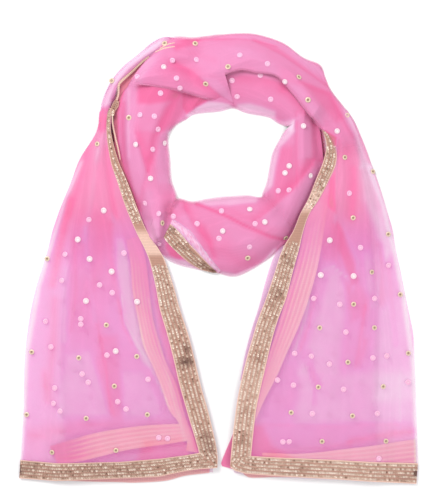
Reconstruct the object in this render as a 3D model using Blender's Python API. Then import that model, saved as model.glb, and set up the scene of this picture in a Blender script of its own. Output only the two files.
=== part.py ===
"""A dupatta stole of soft net with a sequin ribbon border, wound once into a neck loop and laid flat.

The length of net runs from the left hem up the left tail, over the top at the back, down the right of the
neck opening, through the cowl, up its left, over the top in front, and down the right tail to the right hem.
Tables are in millimetres. +X is right, +Y is up the flat lay, and +Z is up from the surface it lies on.
"""

import itertools
import math
from collections import namedtuple

import bmesh
import bpy
import numpy as np
from mathutils import Vector
from mathutils.bvhtree import BVHTree

# Sizes of the cloth, in millimetres
MM = 0.001
NET = 1.0
RIBBON = 0.8
SEAM = 0.3
AIR = 1.0
BORDER = 29
RIM = 7
CLEAR = 0.9
TO_MIDDLE = (0.5, -0.65, 0)

# Colours of the cloth
PINK = (0.90, 0.20, 0.58, 1.0)
DEEP_PINK = (0.85, 0.12, 0.40, 1.0)
ROSE_GOLD = (0.62, 0.40, 0.28, 1.0)

# A folded tail: heights of the middle of each layer, from the lowest to the top one, and its folds
FLOOR_LAYER = NET / 2
MIDDLE_LAYER = FLOOR_LAYER + NET + AIR
UNDER_LAYER = MIDDLE_LAYER + NET + AIR + RIBBON + SEAM
TOP_LAYER = UNDER_LAYER + NET + AIR
CREASE_SHARE = 0.25
MOST_BORDER_SHARE = 0.2
TUCK = 7.0
SLANT_LENGTH = 300.0
SWAY = 0.15
SWAY_LENGTH = 70.0

# How finely the cloth is divided: points across each layer of a tail, and sections to each row of a table
TOP_POINTS = 11
FLOOR_POINTS = 3
MIDDLE_POINTS = 3
UNDER_POINTS = 4
BEND_POINTS = 2
BORDER_POINTS = 3
PER_ROW = 2
LAID_POINTS = 7
LAID_PER_ROW = 4
DOWN = Vector((0, 0, -1))

FoldedRow = namedtuple("FoldedRow", "inner_x inner_y outer_x outer_y border under_edge ripple bow")
BandRow = namedtuple("BandRow", "inner_x inner_y outer_x outer_y crown")
Pleat = namedtuple("Pleat", "at_start at_end height width")
RibbonRow = namedtuple("RibbonRow", "upper_x upper_y lower_x lower_y")
Hem = namedtuple("Hem", "floor_drop crease_rise edge_rise")


def smooth_rows(rows, per_row=PER_ROW):
    """Sections read from a smooth curve through the rows of a table."""
    table = np.array(rows, float)
    last = len(table) - 1
    padded = np.vstack([2 * table[0] - table[1], table, 2 * table[-1] - table[-2]])
    sections = []
    for step in range(last * per_row + 1):
        row = min(step // per_row, last - 1)
        t = step / per_row - row
        before, start, end, after = padded[row:row + 4]
        slope = end - before
        bend = 2 * before - 5 * start + 4 * end - after
        twist = 3 * start - before - 3 * end + after
        sections.append(start + 0.5 * (slope * t + bend * t**2 + twist * t**3))
    return np.array(sections)


def ease(share):
    """A soft step from 0 to 1."""
    share = np.clip(share, 0, 1)
    return share * share * (3 - 2 * share)


def finish(name, colour, roughness, metallic=0.0):
    """A plain finish for one kind of cloth."""
    material = bpy.data.materials.new(name)
    material.use_nodes = True
    shader = material.node_tree.nodes["Principled BSDF"]
    shader.inputs["Base Color"].default_value = colour
    shader.inputs["Roughness"].default_value = roughness
    shader.inputs["Metallic"].default_value = metallic
    return material


def closed_wall(name, under, over, material):
    """One closed solid between two grids of points, an under and an over face."""
    rows, columns = under.shape[:2]
    half = rows * columns
    shell = bmesh.new()
    points = (np.concatenate([under.reshape(-1, 3), over.reshape(-1, 3)]) + TO_MIDDLE) * MM
    verts = [shell.verts.new(point) for point in points]

    def quad(a, b, c, d):
        shell.faces.new((verts[a], verts[b], verts[c]))
        shell.faces.new((verts[a], verts[c], verts[d]))

    for row in range(rows - 1):
        for column in range(columns - 1):
            corner = row * columns + column
            quad(corner, corner + 1, corner + columns + 1, corner + columns)
            quad(*(half + spot for spot in (corner, corner + columns, corner + columns + 1, corner + 1)))
    for column in range(columns - 1):
        for start in (column, (rows - 1) * columns + column):
            quad(start, start + 1, half + start + 1, half + start)
    for row in range(rows - 1):
        for start in (row * columns, row * columns + columns - 1):
            quad(start, start + columns, half + start + columns, half + start)
    bmesh.ops.recalc_face_normals(shell, faces=shell.faces)
    mesh = bpy.data.meshes.new(name)
    shell.to_mesh(mesh)
    shell.free()
    mesh.materials.append(material)
    mesh.shade_smooth()
    piece = bpy.data.objects.new(name, mesh)
    bpy.context.scene.collection.objects.link(piece)
    return piece


def part_ends(grid, gap):
    """Draws the first and last section in by a gap, where one piece of cloth meets the next."""
    drawn = grid.copy()
    for end, beside in ((0, 1), (-1, -2)):
        away = grid[beside] - grid[end]
        reach = np.linalg.norm(away, axis=1, keepdims=True)
        drawn[end] = grid[end] + away / reach * gap
    return drawn


def tree_of(grid):
    """The face of a grid of points, for finding its height."""
    rows, columns = grid.shape[:2]
    corners = [row * columns + column for row in range(rows - 1) for column in range(columns - 1)]
    faces = [(c, c + columns, c + columns + 1) for c in corners]
    faces += [(c, c + columns + 1, c + 1) for c in corners]
    return BVHTree.FromPolygons([Vector(point) for point in grid.reshape(-1, 3)], faces)


class Bed:
    """How high the cloth laid so far reaches, on a square net of cells."""

    CELL = 4.0
    HALF = 380.0
    REACH = 4

    def __init__(self):
        count = int(2 * self.HALF / self.CELL) + 1
        self.line = np.linspace(-self.HALF, self.HALF, count)
        self.height = np.zeros((count, count))

    def lay(self, faces):
        """Adds the upper faces of a stretch."""
        for face in faces:
            tree = tree_of(face)
            low = face.reshape(-1, 3).min(axis=0)
            high = face.reshape(-1, 3).max(axis=0)
            columns = np.flatnonzero((self.line >= low[0]) & (self.line <= high[0]))
            rows = np.flatnonzero((self.line >= low[1]) & (self.line <= high[1]))
            for i, j in itertools.product(columns, rows):
                spot = tree.ray_cast(Vector((self.line[i], self.line[j], high[2] + 1)), DOWN)[0]
                if spot is not None:
                    self.height[i, j] = max(self.height[i, j], spot.z)

    def eased(self):
        """The heights on which a new layer rests: the highest within reach, then evened out."""
        top = np.where(self.height > 0, self.height + CLEAR, 0)
        wide = top.copy()
        for di, dj in itertools.product(range(-self.REACH, self.REACH + 1), repeat=2):
            if di * di + dj * dj <= self.REACH**2:
                wide = np.maximum(wide, np.roll(top, (di, dj), axis=(0, 1)))
        for _ in range(2):
            wide = sum(np.roll(wide, (di, dj), (0, 1)) for di in (-1, 0, 1) for dj in (-1, 0, 1)) / 9
        return wide

    def read(self, heights, x, y):
        """The heights at these places, read between the cells."""
        i = np.clip((x + self.HALF) / self.CELL, 0, len(self.line) - 1.001)
        j = np.clip((y + self.HALF) / self.CELL, 0, len(self.line) - 1.001)
        i0, j0 = i.astype(int), j.astype(int)
        a, b = i - i0, j - j0
        low = heights[i0, j0] * (1 - a) + heights[i0 + 1, j0] * a
        high = heights[i0, j0 + 1] * (1 - a) + heights[i0 + 1, j0 + 1] * a
        return low * (1 - b) + high * b


# A band of the loop: one outer wall over a rounded solid of hidden layers

def band(name, rows, pleats, bed, core_rows, rim=RIM, settle=0, columns=11):
    """The outer wall of a stretch of the loop, and under it its hidden layers, which show as a thin rim.

    Settle is how many of its last sections come down to the surface beside the loop.
    """
    sections = smooth_rows(rows)
    inner, outer, crown = sections[:, 0:2], sections[:, 2:4], sections[:, 4]
    span = outer - inner
    inset = (rim / np.linalg.norm(span, axis=1))[:, None]
    across = 0.5 - 0.5 * np.cos(np.linspace(0, math.pi, columns))
    along = np.linspace(0, 1, len(sections))[:, None]
    share = inset + across[None, :] * (1 - 2 * inset)
    share = np.hstack([np.zeros_like(along), share, np.ones_like(along)])
    ground = inner[:, None, :] + span[:, None, :] * share[:, :, None]
    rest = bed.read(bed.eased(), ground[:, :, 0], ground[:, :, 1])
    down = np.linspace(0, 1, settle + 1)[1:]
    rest[len(rest) - settle:] *= (1 - ease(down))[:, None]
    arch = (4 * across * (1 - across)) ** 0.6
    rise = crown[:, None] * arch
    for pleat in pleats:
        middle = pleat.at_start + (pleat.at_end - pleat.at_start) * along
        rise = rise + pleat.height * arch * np.exp(-((across - middle) / pleat.width) ** 2)
    bottom = rest[:, 1:-1] + NET + SEAM + rise
    under = part_ends(np.dstack([ground[:, 1:-1], bottom]), SEAM / 2)
    over = part_ends(np.dstack([ground[:, 1:-1], bottom + NET]), SEAM / 2)
    closed_wall(name, under, over, net_finish)

    hidden_top = rest + NET
    hidden_top[:, 1:-1] = bottom - SEAM
    hidden = slice(core_rows[0] * PER_ROW, core_rows[1] * PER_ROW + 1)
    hidden_under = part_ends(np.dstack([ground, rest])[hidden], SEAM / 2)
    hidden_over = part_ends(np.dstack([ground, hidden_top])[hidden], SEAM / 2)
    closed_wall(name + "_hidden_layers", hidden_under, hidden_over, hidden_finish)
    return [hidden_over, over]


def laid_ribbon(name, rows, faces):
    """A run of the border that lies across a band, at the height of its faces."""
    tree = tree_of(faces)
    low = []
    for section in smooth_rows(rows, LAID_PER_ROW):
        ends = section.reshape(2, 2)
        line = [ends[0] + (ends[1] - ends[0]) * share for share in np.linspace(0, 1, LAID_POINTS)]
        low.append([(x, y, tree.ray_cast(Vector((x, y, 100)), DOWN)[0].z + CLEAR) for x, y in line])
    low = np.array(low)
    closed_wall(name, low, low + [0, 0, RIBBON], ribbon_finish)


# A folded tail: the net turned under at its outer fold, back at its inner fold, and over itself again

def turn(across, height, radius, start, end):
    """Points inside a fold, on an arc about its middle."""
    angles = np.radians(np.linspace(start, end, BEND_POINTS + 2)[1:-1])
    return [(across + radius * math.cos(a), height + radius * math.sin(a)) for a in angles]


def flat(start, end, height, count):
    """Points along a flat layer."""
    return [(across, height) for across in np.linspace(start, end, count)]


def fold_path(row, width, sway):
    """Middle line of the folded net across one section, from the bordered edge of its top layer.

    Each point is its distance from the outer fold and its height.
    """
    outer_bend = (MIDDLE_LAYER - FLOOR_LAYER) / 2
    outer_mid = (MIDDLE_LAYER + FLOOR_LAYER) / 2
    under_bend = (UNDER_LAYER - MIDDLE_LAYER) / 2
    under_mid = (UNDER_LAYER + MIDDLE_LAYER) / 2
    shoulder = CREASE_SHARE * width
    crease = shoulder + 0.5 + under_bend
    inner_end = width - TUCK - outer_bend
    border = min(row.border, MOST_BORDER_SHARE * width)
    path = []
    top = [width, width - border / 2] + list(np.linspace(width - border, shoulder, 6))
    for across in top + [0.75 * shoulder, 0.5 * shoulder, outer_bend]:
        lift = ease((across - 0.5 * shoulder) / (0.5 * shoulder))
        wave = row.ripple / 2 * (1 - math.cos(2 * math.pi * (2.5 * across / width + sway)))
        wave *= ease(across / shoulder) * ease((width + 6 - across) / 20)
        path.append((across, MIDDLE_LAYER + (TOP_LAYER - MIDDLE_LAYER) * lift + wave))
    path += turn(outer_bend, outer_mid, outer_bend, 90, 270)
    path += flat(outer_bend, inner_end, FLOOR_LAYER, FLOOR_POINTS)
    path += turn(inner_end, outer_mid, outer_bend, -90, 90)
    path += flat(inner_end, crease, MIDDLE_LAYER, MIDDLE_POINTS)
    path += turn(crease, under_mid, under_bend, -90, -270)
    under_end = width - row.under_edge
    under_border = min(BORDER, MOST_BORDER_SHARE * width)
    path += flat(crease, under_end - under_border, UNDER_LAYER, UNDER_POINTS - 1)
    path.append((under_end, UNDER_LAYER))
    return np.array(path)


def right_side(path):
    """The direction out of the right side of the net, at each point of a path across it."""
    step = np.gradient(path, axis=0)
    step /= np.linalg.norm(step, axis=1, keepdims=True)
    return np.column_stack([step[:, 1], -step[:, 0]])


def slant(hem):
    """How far each point across is moved up from the hem, so that the under layers slant between their folds."""
    return np.concatenate([
        np.zeros(TOP_POINTS + BEND_POINTS),
        np.linspace(0, -hem.floor_drop, FLOOR_POINTS),
        np.full(BEND_POINTS, -hem.floor_drop),
        np.linspace(-hem.floor_drop, hem.crease_rise, MIDDLE_POINTS),
        np.full(BEND_POINTS, hem.crease_rise),
        np.linspace(hem.crease_rise, hem.edge_rise, UNDER_POINTS),
    ])


class Tail:
    """The folded sections of one tail, from which its wall and its borders are made."""

    def __init__(self, rows, hem):
        sections = smooth_rows(rows)
        self.inner, self.outer = sections[:, 0:2], sections[:, 2:4]
        steps = np.linalg.norm(np.diff((self.inner + self.outer) / 2, axis=0), axis=1)
        self.along = np.concatenate([[0], np.cumsum(steps)])
        self.width = np.linalg.norm(self.inner - self.outer, axis=1)
        self.bow = sections[:, 7]
        self.rise = slant(hem)
        self.paths = []
        for section, width, along in zip(sections, self.width, self.along):
            self.paths.append(fold_path(FoldedRow(*section), width, SWAY * math.sin(along / SWAY_LENGTH)))

    def edge_at(self, line, along):
        """Places on an edge at these distances from the hem, also a little beyond it."""
        spot = np.column_stack([np.interp(along, self.along, line[:, k]) for k in (0, 1)])
        out = (line[0] - line[1]) / np.linalg.norm(line[0] - line[1])
        return spot + np.clip(-along, 0, None)[:, None] * out

    def surface(self, out, sections=slice(None), points=slice(None)):
        """A grid of points at this distance out of the net's right side."""
        grid = []
        for path, width, along, bow in zip(self.paths, self.width, self.along, self.bow):
            fade = max(0, 1 - along / SLANT_LENGTH) ** 2
            inner = self.edge_at(self.inner, along + self.rise * fade)
            outer = self.edge_at(self.outer, along + self.rise * fade)
            cross = inner - outer
            cross /= np.linalg.norm(cross, axis=1, keepdims=True)
            spots = path + right_side(path) * out
            share = np.clip(path[:, 0] / width, 0, 1)
            ground = outer + cross * spots[:, :1]
            ground[:, 1] -= bow * 4 * share * (1 - share)
            grid.append(np.column_stack([ground, spots[:, 1]]))
        return np.array(grid)[sections, points]

    def wall(self, name):
        """The net itself, parted at its top from the next stretch."""
        face, back = self.surface(NET / 2), self.surface(-NET / 2)
        for grid in (face, back):
            grid[-1] = part_ends(grid, SEAM / 2)[-1]
        closed_wall(name, back, face, net_finish)

    def ribbon(self, name, sections, points):
        """A run of the border, lying on the right side of the net."""
        low = self.surface(NET / 2 + SEAM, sections, points)
        high = self.surface(NET / 2 + SEAM + RIBBON, sections, points)
        closed_wall(name, part_ends(low, SEAM), part_ends(high, SEAM), ribbon_finish)

    def borders(self, side):
        """The border on the hem and the side of the top layer, and of the layer that shows through it."""
        hem, above = slice(0, PER_ROW + 1), slice(PER_ROW, None)
        self.ribbon(side + "_hem_border", hem, slice(0, TOP_POINTS))
        self.ribbon(side + "_side_border", above, slice(0, BORDER_POINTS))
        self.ribbon(side + "_under_hem_border", hem, slice(-UNDER_POINTS, None))
        self.ribbon(side + "_under_side_border", above, slice(-2, None))


for old in list(bpy.data.objects):
    bpy.data.objects.remove(old, do_unlink=True)

net_finish = finish("soft_net", PINK, 0.7)
hidden_finish = finish("hidden_net", DEEP_PINK, 0.75)
ribbon_finish = finish("sequin_ribbon", ROSE_GOLD, 0.35, 0.8)

# The loop, in the order in which it is laid

floor = Bed()
bed = Bed()

TOP_INNER = [
    BandRow(-41, 229, -20, 298, 5),
    BandRow(-6, 234, 5, 325, 11),
    BandRow(34, 236, 53, 330, 13),
    BandRow(76, 226, 106, 306, 14),
    BandRow(104, 212, 156, 252, 14),
]
top_inner_pleats = [Pleat(0.3, 0.25, 3.0, 0.12), Pleat(0.65, 0.6, 3.0, 0.15)]
on_floor = band("top_inner_pass", TOP_INNER, top_inner_pleats, floor, core_rows=(0, 4))

RIGHT_INNER = [
    BandRow(104, 212, 156, 252, 14),
    BandRow(90, 176, 160, 198, 15),
    BandRow(80, 141, 165, 146, 15),
    BandRow(72, 109, 144, 92, 16),
    BandRow(71, 98, 117, 36, 16),
]
right_inner_pleats = [Pleat(0.25, 0.3, 3.0, 0.1), Pleat(0.6, 0.75, 3.5, 0.12)]
on_floor += band("right_inner_pass", RIGHT_INNER, right_inner_pleats, floor, core_rows=(0, 4))

COWL = [
    BandRow(71, 98, 117, 36, 16),
    BandRow(50, 101, 80, 2, 17),
    BandRow(12, 100, 24, -30, 17),
    BandRow(-32, 93, -36, -19, 16),
    BandRow(-65, 90, -78, -6, 12),
    BandRow(-86, 90, -99, 24, 5),
]
cowl_pleats = [Pleat(0.3, 0.2, 3.5, 0.1), Pleat(0.75, 0.5, 4.0, 0.12), Pleat(0.95, 0.8, 2.0, 0.1)]
cowl_faces = band("cowl", COWL, cowl_pleats, floor, core_rows=(0, 4))

COWL_BORDER = [
    RibbonRow(-75, 56, -86, 29),
    RibbonRow(-57, 37, -71, 18),
    RibbonRow(-38, 18, -53, 4),
    RibbonRow(-20, 0, -36, -8),
    RibbonRow(-8, -12, -22, -13),
]
laid_ribbon("cowl_border", COWL_BORDER, cowl_faces[1])
bed.lay(cowl_faces)

LEFT_INNER = [
    BandRow(-84, 32, -108, 30, 3),
    BandRow(-78, 74, -121, 56, 8),
    BandRow(-68, 106, -138, 90, 12),
    BandRow(-76, 138, -154, 133, 15),
    BandRow(-80, 189, -160, 180, 15),
    BandRow(-62, 218, -160, 222, 14),
    BandRow(-49, 252, -147, 262, 14),
    BandRow(-41, 282, -127, 286, 14),
]
left_inner_pleats = [Pleat(0.3, 0.35, 3.0, 0.1), Pleat(0.65, 0.6, 3.5, 0.12)]
left_faces = band("left_inner_pass", LEFT_INNER, left_inner_pleats, bed, core_rows=(1, 7))

TOP_BACK = [
    BandRow(-172, 228, -193, 224, 6),
    BandRow(-166, 253, -184, 258, 6),
    BandRow(-148, 282, -161, 298, 6),
    BandRow(-116, 311, -126, 328, 6),
    BandRow(-78, 325, -89, 354, 6),
    BandRow(-48, 321, -54, 343, 3),
]
back_faces = band("top_back_pass", TOP_BACK, [], floor, core_rows=(0, 5), rim=3, columns=7)
for faces in (on_floor, left_faces, back_faces):
    bed.lay(faces)

TOP_FRONT = [
    BandRow(-132, 262, -158, 278, 3),
    BandRow(-121, 274, -139, 300, 4),
    BandRow(-89, 269, -110, 325, 5),
    BandRow(-56, 261, -75, 351, 6),
    BandRow(-20, 253, -36, 356, 7),
    BandRow(15, 266, 4, 360, 7),
    BandRow(50, 288, 50, 360, 7),
    BandRow(92, 284, 103, 344, 7),
    BandRow(122, 255, 146, 317, 7),
    BandRow(146, 221, 180, 272, 7),
    BandRow(165, 202, 202, 240, 6),
]
top_front_pleats = [Pleat(0.3, 0.4, 3.0, 0.1), Pleat(0.7, 0.6, 2.5, 0.1)]
band("top_front_pass", TOP_FRONT, top_front_pleats, bed, core_rows=(0, 10), rim=4, settle=2)

# The tails

LEFT_TAIL = [
    FoldedRow(-1, -336, -319, -352, 29, 32, 1.5, 8),
    FoldedRow(0, -307, -317, -321, 29, 36, 2.0, 7),
    FoldedRow(-20, -235, -312, -235, 29, 40, 2.5, 0),
    FoldedRow(-41, -153, -309, -153, 29, 46, 3.0, 0),
    FoldedRow(-65, -72, -297, -72, 29, 46, 3.0, 0),
    FoldedRow(-92, 7, -275, 7, 26, 25, 3.0, 0),
    FoldedRow(-131, 80, -252, 80, 21, 16, 3.0, 0),
    FoldedRow(-160, 154, -225, 154, 12, 10, 3.0, 0),
    FoldedRow(-172, 228, -193, 224, 8, 4, 1.0, 0),
]
left_tail = Tail(LEFT_TAIL, Hem(floor_drop=8, crease_rise=25, edge_rise=48))
left_tail.wall("left_tail")
left_tail.borders("left")

RIGHT_TAIL = [
    FoldedRow(7, -334, 316, -360, 29, -14, 1.5, 0),
    FoldedRow(17, -304, 318, -326, 29, -8, 2.0, 0),
    FoldedRow(31, -220, 316, -224, 29, 12, 2.5, 0),
    FoldedRow(48, -147, 311, -150, 29, 28, 3.0, 0),
    FoldedRow(71, -76, 301, -83, 29, 34, 3.0, 0),
    FoldedRow(104, 13, 285, -6, 26, 26, 3.0, 0),
    FoldedRow(128, 66, 274, 58, 15, 20, 3.0, 0),
    FoldedRow(156, 125, 255, 122, 22, 14, 3.0, 0),
    FoldedRow(170, 173, 231, 184, 15, 8, 2.0, 0),
    FoldedRow(165, 202, 202, 240, 10, 6, 1.5, 0),
]
right_tail = Tail(RIGHT_TAIL, Hem(floor_drop=5, crease_rise=35, edge_rise=0))
right_tail.wall("right_tail")
right_tail.borders("right")
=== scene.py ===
"""A soft pink net dupatta with a sequin ribbon border, wound once into a neck loop and laid flat."""

import math
from collections import namedtuple

import bpy
import numpy as np
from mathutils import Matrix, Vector
from mathutils.bvhtree import BVHTree


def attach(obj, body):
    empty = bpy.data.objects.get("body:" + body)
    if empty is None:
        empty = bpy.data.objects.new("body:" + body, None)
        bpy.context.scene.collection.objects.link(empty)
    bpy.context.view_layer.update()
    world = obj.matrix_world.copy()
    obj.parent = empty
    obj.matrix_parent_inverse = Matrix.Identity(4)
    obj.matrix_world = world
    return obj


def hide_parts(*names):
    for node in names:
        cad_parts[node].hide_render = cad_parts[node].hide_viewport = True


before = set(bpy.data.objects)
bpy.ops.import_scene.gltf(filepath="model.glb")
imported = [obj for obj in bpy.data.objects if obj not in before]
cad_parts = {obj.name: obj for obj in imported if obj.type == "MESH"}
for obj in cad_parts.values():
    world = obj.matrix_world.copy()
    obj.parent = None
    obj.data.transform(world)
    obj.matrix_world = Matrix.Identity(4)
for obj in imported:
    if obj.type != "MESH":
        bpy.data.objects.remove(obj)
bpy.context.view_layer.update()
scene = bpy.context.scene

# The net.
# A soft pink polyester net, sheer in one layer and deeper pink where it lies over itself. The whole stole is
# one length of it. Each stretch is a thin sheet that follows its solid, with its creases laid in.

STEP = 0.0016
FLOOR_LAYER = 0.0005
MIDDLE = (218.7, 258.25)
SHIFT = (0.0005, -0.00065)


def lay(places):
    """Places on the photograph's 440 by 500 grid, turned into metres on the surface."""
    places = np.asarray(places, float)
    across = (places[..., 0] - MIDDLE[0]) * STEP + SHIFT[0]
    up = (MIDDLE[1] - places[..., 1]) * STEP + SHIFT[1]
    return np.stack([across, up], axis=-1)


def smooth_rows(rows, per_row):
    """Sections read from a smooth curve through the rows of a table."""
    table = np.array(rows, float)
    last = len(table) - 1
    padded = np.vstack([2 * table[0] - table[1], table, 2 * table[-1] - table[-2]])
    sections = []
    for step in range(last * per_row + 1):
        row = min(step // per_row, last - 1)
        t = step / per_row - row
        before, start, end, after = padded[row:row + 4]
        bend = 2 * before - 5 * start + 4 * end - after
        twist = 3 * start - before - 3 * end + after
        sections.append(start + 0.5 * ((end - before) * t + bend * t**2 + twist * t**3))
    return np.array(sections)


def ease(share):
    """A soft step from 0 to 1."""
    share = np.clip(share, 0, 1)
    return share * share * (3 - 2 * share)


def between(start, end, share):
    """A grid of places, each at its share of the way from one line of places to another."""
    return start[:, None] + (end - start)[:, None] * share[None, :, None]


# A crease: its places on the photograph's grid, how far it stands up in millimetres, how many steps it fades
# over on its left and on its right, seen from above on the way from its first place, and its depth of pink,
# which is painted shade where it sinks and a painted highlight where it stands up.
Crease = namedtuple("Crease", "places height left right pink")

# A fold: the outline of cloth that lies double or single there, how far it stands up in millimetres, how deep
# its pink is, from the layers there and from painted shade where it sinks and a painted highlight where it
# stands up, and how many steps its edge fades over.
Fold = namedtuple("Fold", "outline height pink soft")


def way_to(spots, start, end):
    """How far each spot is from a straight run between two places, and which side of it the spot is on."""
    way = end - start
    from_start = spots - start
    share = np.clip((from_start @ way) / (way @ way), 0, 1)
    off = from_start - share[..., None] * way
    side = way[0] * from_start[..., 1] - way[1] * from_start[..., 0]
    return np.hypot(off[..., 0], off[..., 1]), side


def crease_shares(spots, crease):
    """How much each spot takes of a crease: 1 on it, and fading to each side and past its ends."""
    line = lay(crease.places)
    nearest = np.full(spots.shape[:-1], 1e9)
    side = np.zeros(spots.shape[:-1])
    for start, end in zip(line[:-1], line[1:]):
        distance, turn = way_to(spots, start, end)
        side = np.where(distance < nearest, turn, side)
        nearest = np.minimum(nearest, distance)
    fade = np.where(side > 0, crease.left, crease.right) * STEP
    return np.exp(-(nearest / fade) ** 2)


def fold_shares(spots, fold):
    """How much each spot takes of a fold: 1 inside its outline and 0 outside, with a soft step between."""
    line = lay(fold.outline)
    nearest = np.full(spots.shape[:-1], 1e9)
    inside = np.zeros(spots.shape[:-1], bool)
    for start, end in zip(line, np.roll(line, -1, axis=0)):
        nearest = np.minimum(nearest, way_to(spots, start, end)[0])
        above = (start[1] > spots[..., 1]) != (end[1] > spots[..., 1])
        rise = end[1] - start[1] if end[1] != start[1] else 1e-9
        cross = start[0] + (spots[..., 1] - start[1]) * (end[0] - start[0]) / rise
        inside ^= above & (spots[..., 0] < cross)
    reach = np.where(inside, nearest, -nearest) / (fold.soft * STEP)
    return ease(0.5 + 0.5 * reach)


def creased(grid, creases, folds, pink):
    """Raises a sheet along its creases and folds, and returns it with the depth of pink at each point, in
    which they paint their shade and highlight.
    """
    grid = grid.copy()
    depth = np.zeros(grid.shape[:2]) + pink
    spots = grid[:, :, :2].copy()
    for crease in creases:
        share = crease_shares(spots, crease)
        grid[:, :, 2] += share * crease.height / 1000
        depth += share * crease.pink
    for fold in folds:
        share = fold_shares(spots, fold)
        grid[:, :, 2] += share * fold.height / 1000
        depth += share * fold.pink
    grid[:, :, 2] = np.maximum(grid[:, :, 2], FLOOR_LAYER)
    return grid, depth


def solid_tree(*nodes):
    """The faces of these solids, for finding where the cloth lies."""
    points, faces = [], []
    for name in nodes:
        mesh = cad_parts[name].data
        start = len(points)
        points += [vert.co.copy() for vert in mesh.vertices]
        faces += [[start + vert for vert in face.vertices] for face in mesh.polygons]
    return BVHTree.FromPolygons(points, faces)


def drape(spots, tree, lift=0.0, fall=0.3):
    """Lays a grid of spots on a solid. A spot beside it falls away from the height of its nearest edge."""
    laid = np.zeros(spots.shape[:2] + (3,))
    for place in np.ndindex(spots.shape[:2]):
        x, y = spots[place]
        found = tree.ray_cast(Vector((x, y, 0.2)), Vector((0, 0, -1)))[0]
        if found is None:
            edge = tree.find_nearest(Vector((x, y, 0.01)))[0]
            height = edge.z - fall * math.hypot(edge.x - x, edge.y - y)
        else:
            height = found.z
        laid[place] = (x, y, max(height + lift, FLOOR_LAYER))
    return laid


def sheet_mesh(name, grid, depth, finish, cover=None, thin=1.0):
    """One sheet of cloth from a grid of points, with a UV map in metres, its depth of pink, how much its
    layers cover, and where it thins out."""
    rows, columns = grid.shape[:2]
    mesh = bpy.data.meshes.new(name)
    corners = [(r * columns + c) for r in range(rows - 1) for c in range(columns - 1)]
    faces = [(c, c + 1, c + columns + 1, c + columns) for c in corners]
    mesh.from_pydata([tuple(point) for point in grid.reshape(-1, 3)], [], faces)
    layer = mesh.attributes.new("pink", "FLOAT", "POINT")
    layer.data.foreach_set("value", depth.reshape(-1).astype(np.float32))
    if cover is not None:
        for key, value in (("layers", cover), ("cover", cover * thin)):
            layer = mesh.attributes.new(key, "FLOAT", "POINT")
            layer.data.foreach_set("value", np.clip(value, 0.02, 1).reshape(-1).astype(np.float32))
    along = np.concatenate([[0], np.cumsum(np.linalg.norm(np.diff(grid.mean(axis=1), axis=0), axis=1))])
    across = np.concatenate([[0], np.cumsum(np.linalg.norm(np.diff(grid[rows // 2], axis=0), axis=1))])
    uv = mesh.uv_layers.new(name="cloth")
    flat = np.array([(across[v % columns], along[v // columns]) for face in faces for v in face], np.float32)
    uv.data.foreach_set("uv", flat.reshape(-1))
    mesh.shade_smooth()
    mesh.materials.append(finish)
    piece = bpy.data.objects.new(name, mesh)
    scene.collection.objects.link(piece)
    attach(piece, "root")
    return piece


def new_finish(name):
    """A new material, with its node tree and its shader."""
    finish = bpy.data.materials.new(name)
    finish.use_nodes = True
    tree = finish.node_tree
    return finish, tree, tree.nodes["Principled BSDF"]


def painted(tree, key):
    """What each point of a sheet says of itself, such as its depth of pink."""
    point = tree.nodes.new("ShaderNodeAttribute")
    point.attribute_name = key
    return point.outputs["Fac"]


def ranged(tree, value, **ends):
    """A value moved from one range to another."""
    scale = tree.nodes.new("ShaderNodeMapRange")
    for end, number in ends.items():
        scale.inputs[end.replace("_", " ").title()].default_value = number
    tree.links.new(value, scale.inputs["Value"])
    return scale.outputs["Result"]


def dyed(tree, value, places, colours):
    """A colour read between these colours, each at its place from 0 to 1."""
    ramp = tree.nodes.new("ShaderNodeValToRGB")
    stops = ramp.color_ramp.elements
    stops[0].color = (*colours[0], 1)
    stops[1].color = (*colours[-1], 1)
    for place, colour in list(zip(places, colours))[1:-1]:
        stops.new(place).color = (*colour, 1)
    tree.links.new(value, ramp.inputs["Fac"])
    return ramp.outputs["Color"]


def woven(tree, shader, colour, light, height, strength, distance):
    """Gives the shader a colour that its threads lighten or darken, and lets them stand up a little."""
    thread = tree.nodes.new("ShaderNodeVectorMath")
    thread.operation = "SCALE"
    tree.links.new(colour, thread.inputs[0])
    tree.links.new(light, thread.inputs["Scale"])
    tree.links.new(thread.outputs["Vector"], shader.inputs["Base Color"])
    bump = tree.nodes.new("ShaderNodeBump")
    bump.inputs["Strength"].default_value = strength
    bump.inputs["Distance"].default_value = distance
    tree.links.new(height, bump.inputs["Height"])
    tree.links.new(bump.outputs["Normal"], shader.inputs["Normal"])


# Pale, lilac, hot and a maroon of painted shade, for a depth of pink from -1 to 2.
PINK_PLACES = (0, 1 / 3, 2 / 3, 1)
THIN_PINKS = ((0.84, 0.66, 0.80), (0.80, 0.26, 0.63), (0.83, 0.13, 0.36), (0.55, 0.14, 0.20))
THICK_PINKS = ((0.84, 0.59, 0.76), (0.76, 0.30, 0.49), (0.79, 0.16, 0.35), (0.58, 0.18, 0.22))


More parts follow.
